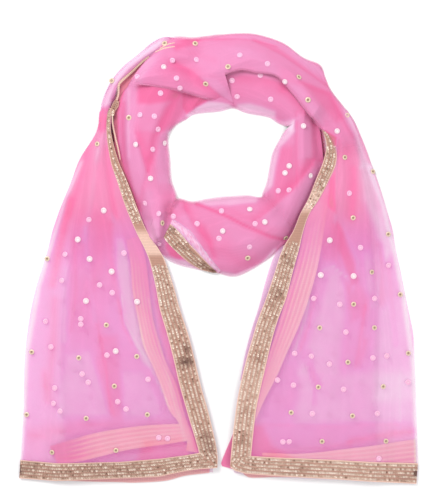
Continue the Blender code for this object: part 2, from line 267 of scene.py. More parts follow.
def net_finish():
    """Dyed net: pale, lilac, hot, or a maroon of painted shade. Thin layers are clear in colour, gathered
    ones milky.
    """
    finish, tree, shader = new_finish("pink_net")
    nodes, links = tree.nodes, tree.links
    place = nodes.new("ShaderNodeTexCoord")
    mottle = nodes.new("ShaderNodeTexNoise")
    mottle.inputs["Scale"].default_value = 28
    mottle.inputs["Detail"].default_value = 3
    links.new(place.outputs["Object"], mottle.inputs["Vector"])
    add = nodes.new("ShaderNodeMath")
    links.new(painted(tree, "pink"), add.inputs[0])
    links.new(ranged(tree, mottle.outputs["Fac"], to_min=-0.16, to_max=0.16), add.inputs[1])
    depth = ranged(tree, add.outputs[0], from_min=-1, from_max=2)
    mix = nodes.new("ShaderNodeMix")
    mix.data_type = "RGBA"
    links.new(ranged(tree, painted(tree, "layers"), from_min=0.55, from_max=0.85), mix.inputs["Factor"])
    links.new(dyed(tree, depth, PINK_PLACES, THIN_PINKS), mix.inputs["A"])
    links.new(dyed(tree, depth, PINK_PLACES, THICK_PINKS), mix.inputs["B"])
    weave = nodes.new("ShaderNodeTexVoronoi")
    weave.feature = "DISTANCE_TO_EDGE"
    weave.inputs["Scale"].default_value = 620
    weave.inputs["Randomness"].default_value = 0.25
    links.new(place.outputs["Object"], weave.inputs["Vector"])
    threads = weave.outputs["Distance"]
    light = ranged(tree, threads, from_max=0.3, to_min=1.05, to_max=0.95)
    woven(tree, shader, mix.outputs["Result"], light, threads, 0.25, 0.0002)
    links.new(painted(tree, "cover"), shader.inputs["Alpha"])
    shader.inputs["Roughness"].default_value = 0.6
    shader.inputs["Specular IOR Level"].default_value = 0.2
    shader.inputs["Sheen Weight"].default_value = 0.15
    shader.inputs["Sheen Tint"].default_value = (1, 0.75, 0.95, 1)
    return finish


pink_net = net_finish()

# The tails.
# Each tail is the full width of the net folded three times: the top layer with its borders, a layer on the
# floor, one between, and one folded back over it, wrong side up, so that its borders show through as peach.

TailRow = namedtuple("TailRow", "inner_x inner_y outer_x outer_y border")
Hem = namedtuple("Hem", "floor_drop crease_rise edge_rise")
# How far a hem bows down from a straight line: share of the width from the outer fold, and steps of the grid
# at its edge and at the top of its border.
Bow = namedtuple("Bow", "share edge border_top")
PER_TAIL_ROW = 7
MIDDLE_LAYER = 0.0025
UNDER_LAYER = 0.0056
CREASE_SHARE = 0.25
TUCK = 0.007
TOP_ACROSS = 75
LOW_ACROSS = 15
SLANT_LENGTH = 0.3
BOW_LENGTH = 0.16
GATHER_FROM = 0.31
GATHER_LENGTH = 0.16
TOP_COVER = 0.48
LOW_COVER = 0.13
LOW_PINK = 0.3
# What a deeper pink adds to the cover, and what gathering adds to the pink and to each layer's cover.
PINK_COVER = 0.09
GATHERED_PINK = 0.3
GATHERED_COVER = 0.38
GATHERED_LOW_COVER = 0.25


def hem_bow(shares, ways, border_way, bows):
    """How far down in metres the hem's bow moves each place, by its share of the width and its way up."""
    table = np.array(bows, float)
    edge = np.interp(shares, table[:, 0], table[:, 1]) * STEP
    border_top = np.interp(shares, table[:, 0], table[:, 2]) * STEP
    up = np.clip(ways / border_way, 0, 1)
    fade = 1 - ease((ways - border_way) / BOW_LENGTH)
    return (edge * (1 - up) + border_top * up) * fade


def tail_net_grid(rows, hem, bows, node):
    """The folded net: the top layer, the layers beneath it, and what the borders need of both."""
    sections = smooth_rows(rows, PER_TAIL_ROW)
    inner, outer = lay(sections[:, 0:2]), lay(sections[:, 2:4])
    width = np.linalg.norm(inner - outer, axis=1)
    along = np.concatenate([[0], np.cumsum(np.linalg.norm(np.diff((inner + outer) / 2, axis=0), axis=1))])
    edge_share = np.linspace(0.1, 0, 12) ** 1.2 * 0.1**-0.2
    share = np.concatenate([np.linspace(1, 0.12, TOP_ACROSS - 12), edge_share])
    ground = between(outer, inner, share)
    border_way = along[PER_TAIL_ROW]
    ground[:, :, 1] -= hem_bow(share[None, :], along[:, None], border_way, bows)
    top = drape(ground, solid_tree(node), 0.0002)
    fold = 1 - ease(share / 0.03)
    top[:, :, 2] = top[:, :, 2] * (1 - fold) + MIDDLE_LAYER * fold
    path = [(0.0, FLOOR_LAYER + (MIDDLE_LAYER - FLOOR_LAYER) / 2, 0.0)]
    for s in np.linspace(0.006, 1, LOW_ACROSS):
        path.append((s, FLOOR_LAYER, -hem.floor_drop * s))
    path.append((1.0, (FLOOR_LAYER + MIDDLE_LAYER) / 2, -hem.floor_drop))
    turn = hem.crease_rise + hem.floor_drop
    for s in np.linspace(1, CREASE_SHARE, LOW_ACROSS):
        path.append((s, MIDDLE_LAYER, -hem.floor_drop + turn * (1 - s) / (1 - CREASE_SHARE)))
    path.append((CREASE_SHARE - 0.006, (MIDDLE_LAYER + UNDER_LAYER) / 2, hem.crease_rise))
    for s in np.linspace(CREASE_SHARE, 1, LOW_ACROSS):
        rise = hem.crease_rise + (hem.edge_rise - hem.crease_rise) * (s - CREASE_SHARE) / (1 - CREASE_SHARE)
        path.append((s, UNDER_LAYER, rise))
    path = np.array(path)
    low = np.zeros((len(sections), len(path), 3))
    hem_way = inner[0] + outer[0] - inner[1] - outer[1]
    hem_way = hem_way / np.linalg.norm(hem_way)
    for r in range(len(sections)):
        fade = max(0, 1 - along[r] / SLANT_LENGTH) ** 2
        spot = along[r] + path[:, 2] * 0.001 * fade
        past = np.clip(-spot, 0, None)[:, None]
        ins = np.column_stack([np.interp(spot, along, inner[:, k]) for k in (0, 1)]) + past * hem_way
        outs = np.column_stack([np.interp(spot, along, outer[:, k]) for k in (0, 1)]) + past * hem_way
        reach = np.clip(path[:, 0], 0, 1 - TUCK / width[r])
        under_reach = path[:, 0] * (1 - sections[r, 4] * STEP / width[r] * 1.3)
        reach = np.where(path[:, 1] >= UNDER_LAYER, under_reach, reach)
        low[r, :, :2] = outs + (ins - outs) * reach[:, None]
        low[r, :, 1] -= hem_bow(reach, np.full(len(path), along[r]), border_way, bows)
        low[r, :, 2] = path[:, 1]
    return top, low, along, sections


def gathered(along):
    """How much each row of a tail is drawn together towards the loop, from 0 to 1."""
    return ease((along - GATHER_FROM) / GATHER_LENGTH)[:, None]


def tail_sheets(side, top, low, along, creases, folds, pink):
    """A tail's top layer and its layers beneath, both denser where they gather towards the loop."""
    drawn = gathered(along)
    grid, depth = creased(top, creases, folds, pink + GATHERED_PINK * drawn)
    cover = TOP_COVER + PINK_COVER * depth + GATHERED_COVER * drawn
    net = sheet_mesh(side + "_tail_net", grid, depth, pink_net, cover)
    low_depth = LOW_PINK + GATHERED_PINK * drawn + np.zeros(low.shape[:2])
    low_cover = LOW_COVER + GATHERED_LOW_COVER * drawn + 0 * low_depth
    under = sheet_mesh(side + "_tail_under_layers", low, low_depth, pink_net, low_cover)
    for piece in (net, under):
        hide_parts(side + "_tail")
    return net, under, grid


LEFT_TAIL = [
    TailRow(217.5, 467, 19.6, 478, 18),
    TailRow(217.0, 449.5, 20.7, 459.7, 18),
    TailRow(209, 414, 23.5, 414, 20.5),
    TailRow(201, 385.5, 24, 381, 21),
    TailRow(194.5, 358, 25.3, 354, 21),
    TailRow(188, 333, 28, 330, 21),
    TailRow(180, 309, 32, 306, 20),
    TailRow(174, 287, 37, 285, 18),
    TailRow(166, 263, 43, 266, 15.5),
    TailRow(159.5, 250, 48, 250, 14),
    TailRow(147, 231, 53, 230, 11),
    TailRow(137, 207, 61, 207, 11),
    TailRow(128, 183, 71, 183, 10),
    TailRow(118, 159, 80, 159, 7.5),
    TailRow(111, 130, 96.5, 132, 4),
    TailRow(112, 108, 99.6, 112, 4),
]
LEFT_HEM = Hem(floor_drop=8, crease_rise=25, edge_rise=48)
LEFT_BOWS = [
    Bow(0, 0, 0), Bow(0.184, 4.3, 4.8), Bow(0.507, 5.1, 6.5), Bow(0.709, 5.5, 5.5), Bow(0.836, 1.5, 3.5),
    Bow(0.91, 0.3, 1.6), Bow(1, 0, 0),
]
left_top, left_low, left_along, left_sections = tail_net_grid(
    LEFT_TAIL, LEFT_HEM, LEFT_BOWS, "left_tail"
)

left_creases = [
    Crease([(20.5, 462), (22.5, 440), (26.5, 354), (39, 285), (50, 250), (66, 199),
            (82, 162)], 0.6, 2.6, 2.6, -1.0),
    Crease([(70, 200), (62, 240), (53, 285)], -1.0, 4, 5, 0.6),
    Crease([(36, 300), (33, 420)], 0.8, 9, 9, -0.1),
    Crease([(55, 300), (54, 345), (48, 400)], -1.2, 4, 5, 0.4),
    Crease([(67, 268), (65, 340)], 0.8, 4, 4, -0.25),
    Crease([(102, 220), (99, 262), (88, 300)], -1.0, 7, 8, 0.25),
    Crease([(113, 225), (116, 275), (124, 310)], -1.2, 3, 5, 0.35),
    Crease([(154, 276), (160, 296), (167, 312)], 0.6, 1.6, 1.6, -0.7),
    Crease([(30, 436), (90, 424), (120, 420)], -0.6, 4, 5, 0.3),
    Crease([(60, 457), (110, 453), (150, 448)], -0.4, 4, 4, 0.2),
    Crease([(90, 140), (82, 175), (70, 215)], -1.0, 4, 4, 0.35),
    Crease([(98, 150), (92, 200), (85, 240)], 1.2, 3, 4, -0.3),
    Crease([(108, 150), (112, 195), (120, 235)], -1.2, 3, 4, 0.35),
    Crease([(106, 112), (103, 135), (97, 160)], 0.8, 3, 3, -0.3),
    Crease([(121.6, 296), (126, 322), (136, 342), (148.8, 361), (160, 386),
            (169.5, 407.5)], 0.4, 1.2, 1.2, -0.45),
    Crease([(119, 300), (124, 326), (133, 343)], -0.5, 1.0, 2.0, 0.3),
    Crease([(75, 240), (77, 290), (72, 330)], -0.6, 2, 4, 0.25),
    Crease([(86, 228), (89, 270), (96, 322)], 0.6, 2, 3, -0.2),
    Crease([(97, 323), (104, 360), (112, 414)], -0.6, 3, 1.0, 0.3),
    Crease([(150, 300), (162, 350), (178, 410), (186, 440)], 0.5, 1.2, 2.5, -0.3),
    Crease([(44, 372), (45, 388)], -0.4, 3, 3, 0.4),
]
left_folds = [
    Fold([(112, 214), (120, 222), (129, 262), (133, 300), (141, 330), (150, 367), (143, 362), (133, 337),
          (124, 312), (118, 285), (113, 255)], 0.4, -0.55, 3),
    Fold([(68, 356), (90, 350), (97, 372), (105, 395), (111, 416), (58, 416), (62, 385)], 0.5, -0.3, 4),
    Fold([(99, 335), (118, 335), (121, 380), (122, 416), (111, 416), (104, 392), (97, 365)], -0.5, 0.4, 4),
    Fold([(122, 371), (143, 371), (152, 385), (163, 416), (124, 416)], 0.5, -0.25, 4),
    Fold([(150, 256), (157, 268), (167, 300), (177, 345), (187, 385), (197, 420), (202, 449), (196, 449),
          (190, 425), (181, 400), (170, 365), (160, 330), (153, 290)], -0.6, 0.55, 3),
    Fold([(72, 205), (120, 200), (118, 240), (112, 300), (98, 345), (72, 345), (68, 300)], 0, 0.2, 10),
    Fold([(19, 422), (165, 421), (206, 418), (222, 470), (16, 485)], 0.4, 0.16, 1.6),
    Fold([(98, 158), (88, 172), (80, 195), (76, 222), (90, 228), (98, 200), (103, 172)], 0, 0.15, 7),
    Fold([(145, 441), (186, 439), (190, 456), (150, 462), (136, 461)], -0.4, 0.5, 3),
]
# The top of the loop comes down behind into this tail, so both have this fold.
shoulder_fold = Fold([(102, 109), (110, 106), (112, 124), (102, 134), (97, 126)], -0.3, 0.9, 3)
left_folds.append(shoulder_fold)
left_net, left_under, left_grid = tail_sheets(
    "left", left_top, left_low, left_along, left_creases, left_folds, 0.1
)

RIGHT_TAIL = [
    TailRow(230, 466, 416, 483.5, 20),
    TailRow(231, 453, 417.6, 463, 20),
    TailRow(233.5, 428, 417, 436, 20),
    TailRow(236, 408, 416, 410, 20),
    TailRow(239, 390, 415.4, 385, 21),
    TailRow(245.5, 362, 414, 357, 21),
    TailRow(252, 339, 413, 335, 20),
    TailRow(258, 319, 409.5, 316, 20),
    TailRow(266, 298, 405, 295, 20),
    TailRow(274, 274, 400.5, 272, 18),
    TailRow(282, 250, 395.5, 250, 16.5),
    TailRow(293, 231, 392, 229, 10),
    TailRow(300, 214, 387, 212, 9),
    TailRow(308, 199, 382.5, 197, 11),
    TailRow(316, 179, 377, 180, 13),
    TailRow(322.5, 163, 371, 164, 13),
    TailRow(326, 148, 365, 147, 9.5),
    TailRow(325, 139, 356, 126, 6),
    TailRow(322, 131, 347, 110, 1.5),
]
RIGHT_HEM = Hem(floor_drop=5, crease_rise=35, edge_rise=0)
RIGHT_BOWS = [
    Bow(0, 0, 0), Bow(0.226, 1.5, 0.7), Bow(0.435, 2.5, 0.6), Bow(0.629, 4, 0.8), Bow(0.774, 5, 1.4),
    Bow(0.914, 5.5, 1), Bow(0.973, 3.5, 0), Bow(1, 0, 0),
]
right_top, right_low, right_along, right_sections = tail_net_grid(
    RIGHT_TAIL, RIGHT_HEM, RIGHT_BOWS, "right_tail"
)

# The front of the loop runs on into this tail, so both have these creases and folds.
front_creases = [
    Crease([(416.5, 462), (416.5, 436), (414, 370), (404, 300), (394, 250), (383, 205),
            (370, 170)], 0.6, 2.6, 2.6, -1.0),
    Crease([(347, 150), (348, 215)], -1.2, 5, 5, 0.2),
    Crease([(354, 170), (353, 218)], -0.8, 3.5, 5, 0.4),
    Crease([(336, 141), (336, 222)], 1.4, 1.4, 3, -0.35),
    Crease([(380, 245), (379, 275), (382, 302)], -1.0, 5, 5, 0.35),
    Crease([(366, 255), (370, 290)], 0.8, 4, 4, -0.25),
    Crease([(324, 269), (334, 267), (346, 277)], 0.6, 1.5, 1.5, -0.4),
    Crease([(371, 305), (366, 335)], 1.0, 3, 4, -0.3),
    Crease([(300, 360), (306, 385), (300, 410)], 0.8, 10, 10, -0.1),
    Crease([(310, 352), (313, 372), (320, 385)], -0.6, 2.5, 4, 0.3),
    Crease([(350, 440), (385, 434), (416, 430)], -0.5, 3, 5, 0.5),
    Crease([(272, 452), (320, 448), (350, 443)], -0.4, 3, 3, 0.25),
    Crease([(338, 141), (336, 222)], -0.8, 2, 1, 0.2),
    Crease([(309, 300), (303, 325), (294, 352)], 0.5, 1.2, 2.0, -0.4),
    Crease([(315, 296), (308, 326), (300, 350)], -0.5, 1.4, 1.4, 0.3),
    Crease([(302, 356), (309, 370), (314, 388), (312.7, 402)], -0.6, 4, 1.2, 0.3),
    Crease([(365.4, 306), (361, 332), (356, 364)], -0.6, 1.2, 3, 0.35),
    Crease([(378, 248), (379, 275), (376.5, 306)], 0.6, 1.5, 2, -0.3),
    Crease([(388, 262), (392, 300), (396, 345)], -0.4, 2, 3, 0.2),
    Crease([(334, 226), (338, 262), (348, 290)], -0.5, 2, 4, 0.25),
    Crease([(264, 424), (330, 424), (400, 423)], -0.3, 0.8, 3, 0.2),
    Crease([(400.5, 372), (400.5, 430)], 0.3, 0.8, 2.5, -0.15),
    Crease([(342, 225), (358, 262), (352, 292)], 0.4, 1.4, 2, -0.2),
    Crease([(177, 42), (205, 40.3), (238.7, 39.3), (256, 41.3), (276.4, 47)], -0.8, 1.2, 1.2, 0.4),
    Crease([(254, 41.3), (280.5, 54.6), (296.8, 65.8), (327.4, 86.2)], -1.4, 4, 1.5, 0.4),
    Crease([(175.8, 63.8), (191, 72), (201.3, 82.1), (214, 93), (225.8, 101.5),
            (232, 105)], -1.8, 1.5, 8, 0.5),
    Crease([(300, 83), (330, 94), (346, 126), (352, 135)], -1.0, 1.4, 4, 0.3),
    Crease([(142, 86), (174.8, 92.3), (207, 100)], 0.5, 1.4, 1.4, -0.3),
    Crease([(210, 44), (235, 50), (262, 56)], 1.0, 5, 6, -0.15),
    Crease([(178, 52), (205, 58), (215, 62)], -0.8, 4, 4, 0.15),
]
front_folds = [
    Fold([(359, 168), (371, 166), (383, 205), (392, 250), (386, 262), (374, 225),
          (362, 200)], 0.4, -0.8, 6),
    Fold([(343, 107), (350, 114), (364, 147), (372, 168), (360, 168), (355, 135),
          (347, 120)], 0.4, -0.9, 4),
    Fold([(336, 222), (341, 226), (347, 245), (354, 262), (358, 281), (352, 284), (345, 268),
          (338, 250)], -1.0, 0.7, 3),
    Fold([(329, 272), (340, 270), (346, 285), (345, 310), (342, 345), (338, 372), (300, 372), (308, 340),
          (320, 305)], 0.4, -0.35, 6),
    Fold([(346, 283), (357, 280), (366, 296), (372, 310), (368, 330), (366, 348), (360, 366), (356, 366),
          (361, 345), (362, 318), (350, 322), (347, 300)], -0.8, 0.4, 4),
    Fold([(384, 300), (405, 300), (412, 345), (414, 400), (372, 400), (370, 345),
          (378, 320)], 0.4, -0.2, 6),
    Fold([(262, 425), (300, 424.6), (412, 423), (422, 470), (415, 490), (225, 470),
          (240, 425)], 0.3, 0.08, 1.6),
    # Painted shadow beside the right tail's border, under the fold at its edge.
    Fold([(325, 131), (335.8, 138), (335.8, 147), (328, 143)], -1.0, 1.4, 1.5),
    Fold([(300, 372), (415, 372), (416, 420), (295, 424)], 0.2, -0.3, 8),
    Fold([(249, 422), (262, 424), (272, 444), (300, 462), (280, 468), (247, 466)], 0, 0.6, 4),
    # Painted shadow beside the right tail's border, further down.
    Fold([(329, 182), (335.6, 168), (335.6, 214), (328, 206)], -0.6, 0.8, 2),
    Fold([(324, 190), (336, 205), (336, 260), (322, 262), (320, 240)], 0, 0.3, 4),
    Fold([(220, 38), (252, 41), (276.4, 47), (296.8, 62), (330, 88), (322, 68), (303, 58), (289, 47),
          (274, 40), (257, 35)], -0.6, -0.3, 2),
    Fold([(201, 80), (207, 79.5), (216.6, 81), (226, 90), (235, 104), (229, 104)], 0.5, -0.25, 2),
    Fold([(205, 50), (250, 52), (275, 66), (280, 80), (256, 74), (239, 72), (219, 79), (206, 74),
          (195, 60)], 0.4, -0.2, 6),
    Fold([(285, 84), (300, 88), (317, 110), (322, 124), (312, 118), (299, 103)], 0.5, -0.3, 4),
    Fold([(302, 84), (330, 93), (343, 118), (336, 124), (318, 104)], -0.4, 0.4, 4),
    Fold([(147, 59), (162, 54), (152, 70), (141, 84), (129, 87)], 0.4, -0.4, 4),
    Fold([(172, 46), (186, 41), (200, 40), (192, 47), (176, 51)], -0.6, 0.6, 3),
    Fold([(175, 60), (196, 72), (204, 90), (185, 90), (165, 84), (160, 72)], 0, 0.2, 8),
]
right_net, right_under, right_grid = tail_sheets(
    "right", right_top, right_low, right_along, front_creases, front_folds, 0.08
)

# The loop.
# The same net, gathered in soft folds and wound once round the neck opening. Each stretch has its outer
# layer, and under it the folded layers that it lies on. The folds run on from one stretch to the next.

BandRow = namedtuple("BandRow", "inner_x inner_y outer_x outer_y")
PER_BAND_ROW = 10
BAND_ACROSS = 49
NET_COVER = 0.78
FOLDS_COVER = 0.97
FOLDS_PINK = 0.1
NET_LIFT = 0.0006
NET_INSET = 0.0015
INNER_SIDE = 0.35
EDGE_COVER = 0.3
EDGE_SHARE = 0.07


def bridged(grid, times=6):
    """Lets a sheet span the narrow hollows under it, as cloth does."""
    grid = grid.copy()
    for _ in range(times):
        height = grid[:, :, 2]
        around = np.pad(height, 1, mode="edge")
        mean = (around[:-2, 1:-1] + around[2:, 1:-1] + around[1:-1, :-2] + around[1:-1, 2:]) / 4
        grid[:, :, 2] = np.maximum(height, mean)
    return grid


def band_grid(rows, nodes, spread, lift, fall):
    """A stretch of the loop, laid on its solids. Its spread is how far it goes past its table, in metres."""
    sections = smooth_rows(rows, PER_BAND_ROW)
    inner, outer = lay(sections[:, 0:2]), lay(sections[:, 2:4])
    span = outer - inner
    way = span / np.linalg.norm(span, axis=1, keepdims=True)
    inner, outer = inner - way * spread, outer + way * spread
    share = 0.5 - 0.5 * np.cos(np.linspace(0, math.pi, BAND_ACROSS))
    ground = between(inner, outer, share)
    return drape(ground, solid_tree(*nodes), lift, fall)


def stretch(
    name, rows, creases, folds, pink, nodes, cover=FOLDS_COVER, fall=1.0, lift=0.0, fades=(0, 0), soft_edge=0
):
    """One stretch of the loop: its folded layers beneath, and its outer layer. Its fades are the rows of its
    table, at its start and its end, over which it thins out into the cloth that it runs on into. Its soft
    edge is the rows at its start where its inner side thins out too. Its side edges are thin all along."""
    hidden = [node + "_hidden_layers" for node in nodes if node + "_hidden_layers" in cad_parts]
    low = bridged(band_grid(rows, hidden, 0.0, lift, fall))
    low, low_depth = creased(low, creases, folds, pink + FOLDS_PINK)
    top = bridged(band_grid(rows, hidden + nodes, -NET_INSET, lift + NET_LIFT, fall))
    top, top_depth = creased(top, creases, folds, pink)
    steps = np.arange(len(top))[:, None] / PER_BAND_ROW
    whole = ease(steps / max(fades[0], 0.01)) * ease((steps[-1] - steps) / max(fades[1], 0.01))
    share = (0.5 - 0.5 * np.cos(np.linspace(0, math.pi, BAND_ACROSS)))[None, :]
    side = ease(share / INNER_SIDE)
    whole = whole * (side + (1 - side) * ease(steps - soft_edge + 1))
    whole = whole * (EDGE_COVER + (1 - EDGE_COVER) * ease(np.minimum(share, 1 - share) / EDGE_SHARE))
    under = sheet_mesh(name + "_folds", low, low_depth, pink_net, cover + 0 * low_depth, whole)
    over = sheet_mesh(name + "_net", top, top_depth, pink_net, NET_COVER + 0 * top_depth, whole)
    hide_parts(name + "_hidden_layers")
    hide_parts(name)
    return under, over, top


loop_creases = [
    Crease([(128.9, 90), (128.5, 125), (129, 158)], 1.2, 1.6, 3, -0.35),
    Crease([(123, 104), (122.5, 130), (125, 160), (132, 190), (140, 210)], -1.0, 3, 3, 0.45),
    Crease([(176.8, 96.4), (162.5, 123), (156.4, 135), (150.3, 160.7)], -1.6, 5, 4, 0.35),
    Crease([(136, 133), (142, 152), (148.3, 172)], -1.4, 7, 1.6, 0.3),
    Crease([(156, 150), (148.3, 172), (143, 190), (139, 206)], -1.2, 3, 2, 0.2),
    Crease([(169.5, 133), (170.8, 160), (171.3, 182), (178, 196), (188, 200)], 0.4, 2, 2, -0.6),
    Crease([(189, 117), (178, 126), (170, 133)], 0.4, 2.5, 2.5, -0.6),
    Crease([(167, 196), (166, 215), (164, 236)], -1.0, 5, 4, 0.2),
    Crease([(150, 195), (150, 215), (154, 236)], 1.2, 6, 6, -0.2),
    Crease([(295.8, 113), (295.8, 160), (296.5, 188)], -1.4, 2, 1.4, 0.3),
    Crease([(306, 160), (323, 160.5)], -0.6, 1.4, 1.4, 0.2),
    Crease([(312, 164), (289, 192), (259, 218)], -2.0, 1.6, 7, 0.4),
    Crease([(197, 204), (204, 206.5), (226.3, 216), (243.3, 225), (271, 237),
            (285.7, 239.7)], -2.2, 1.5, 1.8, 0.8),
    Crease([(222, 208), (240, 216), (262, 224)], -0.8, 4, 5, 0.2),
    Crease([(185, 207), (194.8, 225), (209.4, 242), (213.5, 256)], -2.0, 5, 1.8, 0.35),
    Crease([(175, 204), (184, 218), (194, 236)], 1.2, 5, 5, -0.2),
    Crease([(222, 272.5), (236, 275.5), (262.5, 264), (274.5, 250)], 0.4, 2.0, 2.0, -0.8),
    Crease([(228, 228), (240, 236), (256, 246)], 1.2, 9, 9, -0.2),
    Crease([(222, 250), (240, 262), (252, 262)], -0.8, 6, 6, 0.2),
    Crease([(240, 78), (262, 80), (283, 86)], -1.0, 2, 8, 0.3),
    Crease([(284, 90), (299, 106), (312, 122)], -1.2, 6, 5, 0.4),
]
loop_folds = [
    Fold([(148, 222), (165, 214), (174, 240), (172, 262), (150, 258)], 0, -0.3, 5),
    Fold([(129, 78), (136.5, 76), (136.5, 104), (136, 133), (141, 150), (146, 172), (140, 195), (134, 192),
          (129, 170), (128, 130)], 0.5, -0.2, 2.5),
    # Painted shadow under the top front pass's lower edge.
    Fold([(138, 84), (175, 90), (183, 95), (166, 103), (150, 105.5), (138, 104)], -0.5, 0.75, 3),
    Fold([(136, 133), (148.5, 132), (156, 134), (152, 158), (148.3, 176), (142, 154)], -0.5, 0.3, 2.5),
    Fold([(176, 97), (183, 97), (184, 112), (175, 124), (166, 130), (157, 136), (159, 122),
          (166, 108)], -0.4, 0.4, 3),
    Fold([(160.5, 133), (170, 133), (171.5, 184), (158, 184), (156, 158)], 0.4, -0.25, 3),
    # Painted shade in the hollow under the top front pass, at the top left of the neck opening.
    Fold([(183, 92), (196, 95), (209, 100.3), (196, 108.5), (186.5, 113.5), (183, 108)], -0.8, 0.8, 1.6),
    Fold([(186, 116), (196, 107), (209, 102), (222, 103), (229, 104.5), (235, 108), (220, 114),
          (192, 117)], 0.4, -1.0, 2),
    Fold([(235.6, 109), (237.7, 104.5), (249, 103.6), (262, 107), (275, 112), (277, 125), (262, 119),
          (247, 116)], 0.4, -0.9, 3),
    Fold([(270, 121), (284, 121), (297, 119), (290, 131), (280, 127)], 0.3, -0.7, 3),
    Fold([(219, 81), (239, 73), (256, 75.5), (276, 78.5), (284, 83), (282, 96), (262, 98), (240, 98),
          (226, 97)], -0.4, 0.12, 4),
    Fold([(293, 123), (295, 132), (281, 147.4), (276, 166.8), (272.5, 186), (262, 197), (261, 190),
          (267, 160), (279, 137)], 0.4, -0.95, 3),
    Fold([(295.8, 113), (311, 122), (311, 160), (296, 160)], 0.4, -0.15, 2.5),
    Fold([(311, 122), (320, 127), (327, 145), (324, 160), (312, 160)], -0.4, 0.4, 3),
    Fold([(278, 148), (294, 146), (294, 190), (276, 197), (273, 190)], -0.4, 0.35, 4),
    Fold([(306, 160.5), (322, 160.5), (300, 185), (299, 170)], -0.3, 0.3, 3),
    Fold([(289, 194), (312, 168), (320, 172), (302, 205), (287, 227), (270, 227),
          (261, 219)], 0.5, -0.2, 3),
    Fold([(195, 202), (202, 197), (220, 195), (247, 193.5), (262, 194), (256, 203), (230, 206),
          (207, 206)], 0.4, -0.7, 2.5),
    Fold([(199.7, 221.5), (206, 226), (212, 240), (213.5, 256), (204, 247), (197, 232)], -0.4, 0.35, 4),
    Fold([(170.6, 195), (186, 200), (190, 212), (175, 218), (168, 212)], -0.3, 0.25, 4),
    Fold([(167, 241), (174, 248), (186, 258), (179, 259), (170, 255), (166, 248)], -0.4, 0.9, 2),
    Fold([(161, 255), (174, 258.5), (186, 261), (197, 268), (192, 272), (176, 268),
          (163, 261)], 0.3, -0.95, 2),
    # Painted shade in the gap beside the left tail's border.
    Fold([(149, 56), (132, 78), (125, 88), (121, 101), (118, 113), (118.4, 145), (125, 171), (133, 192),
          (138.5, 209), (120, 209), (100, 150), (100, 100), (125, 60)], -0.3, 1.5, 1.5),
]

TOP_INNER = [
    BandRow(185, 121, 186, 84),
    BandRow(190, 116.5, 197, 76),
    BandRow(200, 114, 205, 70),
    BandRow(220, 112, 222, 58),
    BandRow(233, 109, 238, 55),
    BandRow(247, 114, 254, 56),
    BandRow(268, 118, 274, 62),
    BandRow(277, 123.5, 296, 80),
    BandRow(287, 127, 316, 101),
    BandRow(294, 125, 320, 106),
]
top_inner_folds, top_inner_net, top_inner_grid = stretch(
    "top_inner_pass", TOP_INNER, loop_creases, loop_folds, 0.3, ["top_inner_pass", "right_inner_pass"]
)
RIGHT_INNER = [
    BandRow(299, 114, 314, 92),
    BandRow(294, 122.5, 319, 104),
    BandRow(284.5, 131, 321, 114),
    BandRow(279, 140, 323, 124),
    BandRow(272, 153, 327, 150),
    BandRow(269, 167, 328, 168),
    BandRow(266, 183, 321, 185),
    BandRow(262, 193, 309, 208),
    BandRow(261, 197, 294, 236),
    BandRow(254, 197.5, 284, 246),
]
right_inner_folds, right_inner_net, right_inner_grid = stretch(
    "right_inner_pass", RIGHT_INNER, loop_creases, loop_folds, 0.3,
    ["right_inner_pass", "top_inner_pass", "cowl"],
)
COWL = [
    BandRow(266, 183, 305, 214),
    BandRow(262, 196, 292, 237),
    BandRow(248, 195, 273, 256),
    BandRow(234, 195.5, 252, 270),
    BandRow(220, 196.5, 234, 277),
    BandRow(206, 198.5, 214, 272.5),
    BandRow(192, 201, 196, 269.5),
    BandRow(180, 198, 179, 265.5),
    BandRow(171, 200, 166, 259),
    BandRow(165, 202, 155, 247),
    BandRow(158, 203, 148, 236),
]
cowl_folds, cowl_net, cowl_grid = stretch(
    "cowl", COWL, loop_creases, loop_folds, 0.3, ["cowl", "right_inner_pass", "left_inner_pass"],
    lift=0.0005, fades=(1.5, 0),
)
LEFT_INNER = [
    BandRow(168, 252, 153, 247),
    BandRow(172, 243, 151, 240),
    BandRow(174, 226, 140, 228),
    BandRow(176, 210, 131, 213),
    BandRow(177, 195, 124, 199),
    BandRow(172, 180, 117, 180),
    BandRow(170.6, 160, 112, 160),
    BandRow(169, 138, 108.5, 140),
    BandRow(176.5, 125.5, 107, 124),
    BandRow(187, 119.5, 108, 110),
    BandRow(195, 112, 113, 96),
    BandRow(206, 97, 126, 77),
    BandRow(212, 84, 141, 62),
]
left_inner_folds, left_inner_net, left_inner_grid = stretch(
    "left_inner_pass", LEFT_INNER, loop_creases, loop_folds, 0.25,
    ["left_inner_pass", "cowl", "top_inner_pass"], fall=0.5, lift=0.001, fades=(1.5, 0), soft_edge=4,
)
TOP_BACK = [
    BandRow(117, 150, 85, 150),
    BandRow(112.5, 132, 96, 133),
    BandRow(112.5, 116, 98.6, 123.5),
    BandRow(112, 108, 99.8, 112),
    BandRow(115, 99, 102.5, 98.5),
    BandRow(119, 87, 109, 84),
    BandRow(131, 74, 121, 68),
    BandRow(147, 60, 138, 54),
    BandRow(160, 53, 152, 42),
    BandRow(172, 52, 165, 36.5),
    BandRow(186, 54, 181, 39),
]
top_back_creases = [
    Crease([(104, 104), (113, 84), (127, 67), (143, 54), (160, 43)], 0.5, 3.5, 3.5, -0.45),
    Crease([(113, 100), (116, 88), (130, 72), (146, 59), (160, 51)], -0.8, 2.5, 2, 0.5),
    Crease([(101, 121), (103, 106), (112, 86)], -0.5, 2, 2, 0.4),
    Crease([(172, 36), (186, 42), (200, 44)], -0.5, 4, 4, 0.6),
]
top_back_folds, top_back_net, top_back_grid = stretch(
    "top_back_pass", TOP_BACK, top_back_creases, [shoulder_fold], -0.4,
    ["top_back_pass", "left_tail"], 0.5, 0.4, fades=(2.4, 0),
)
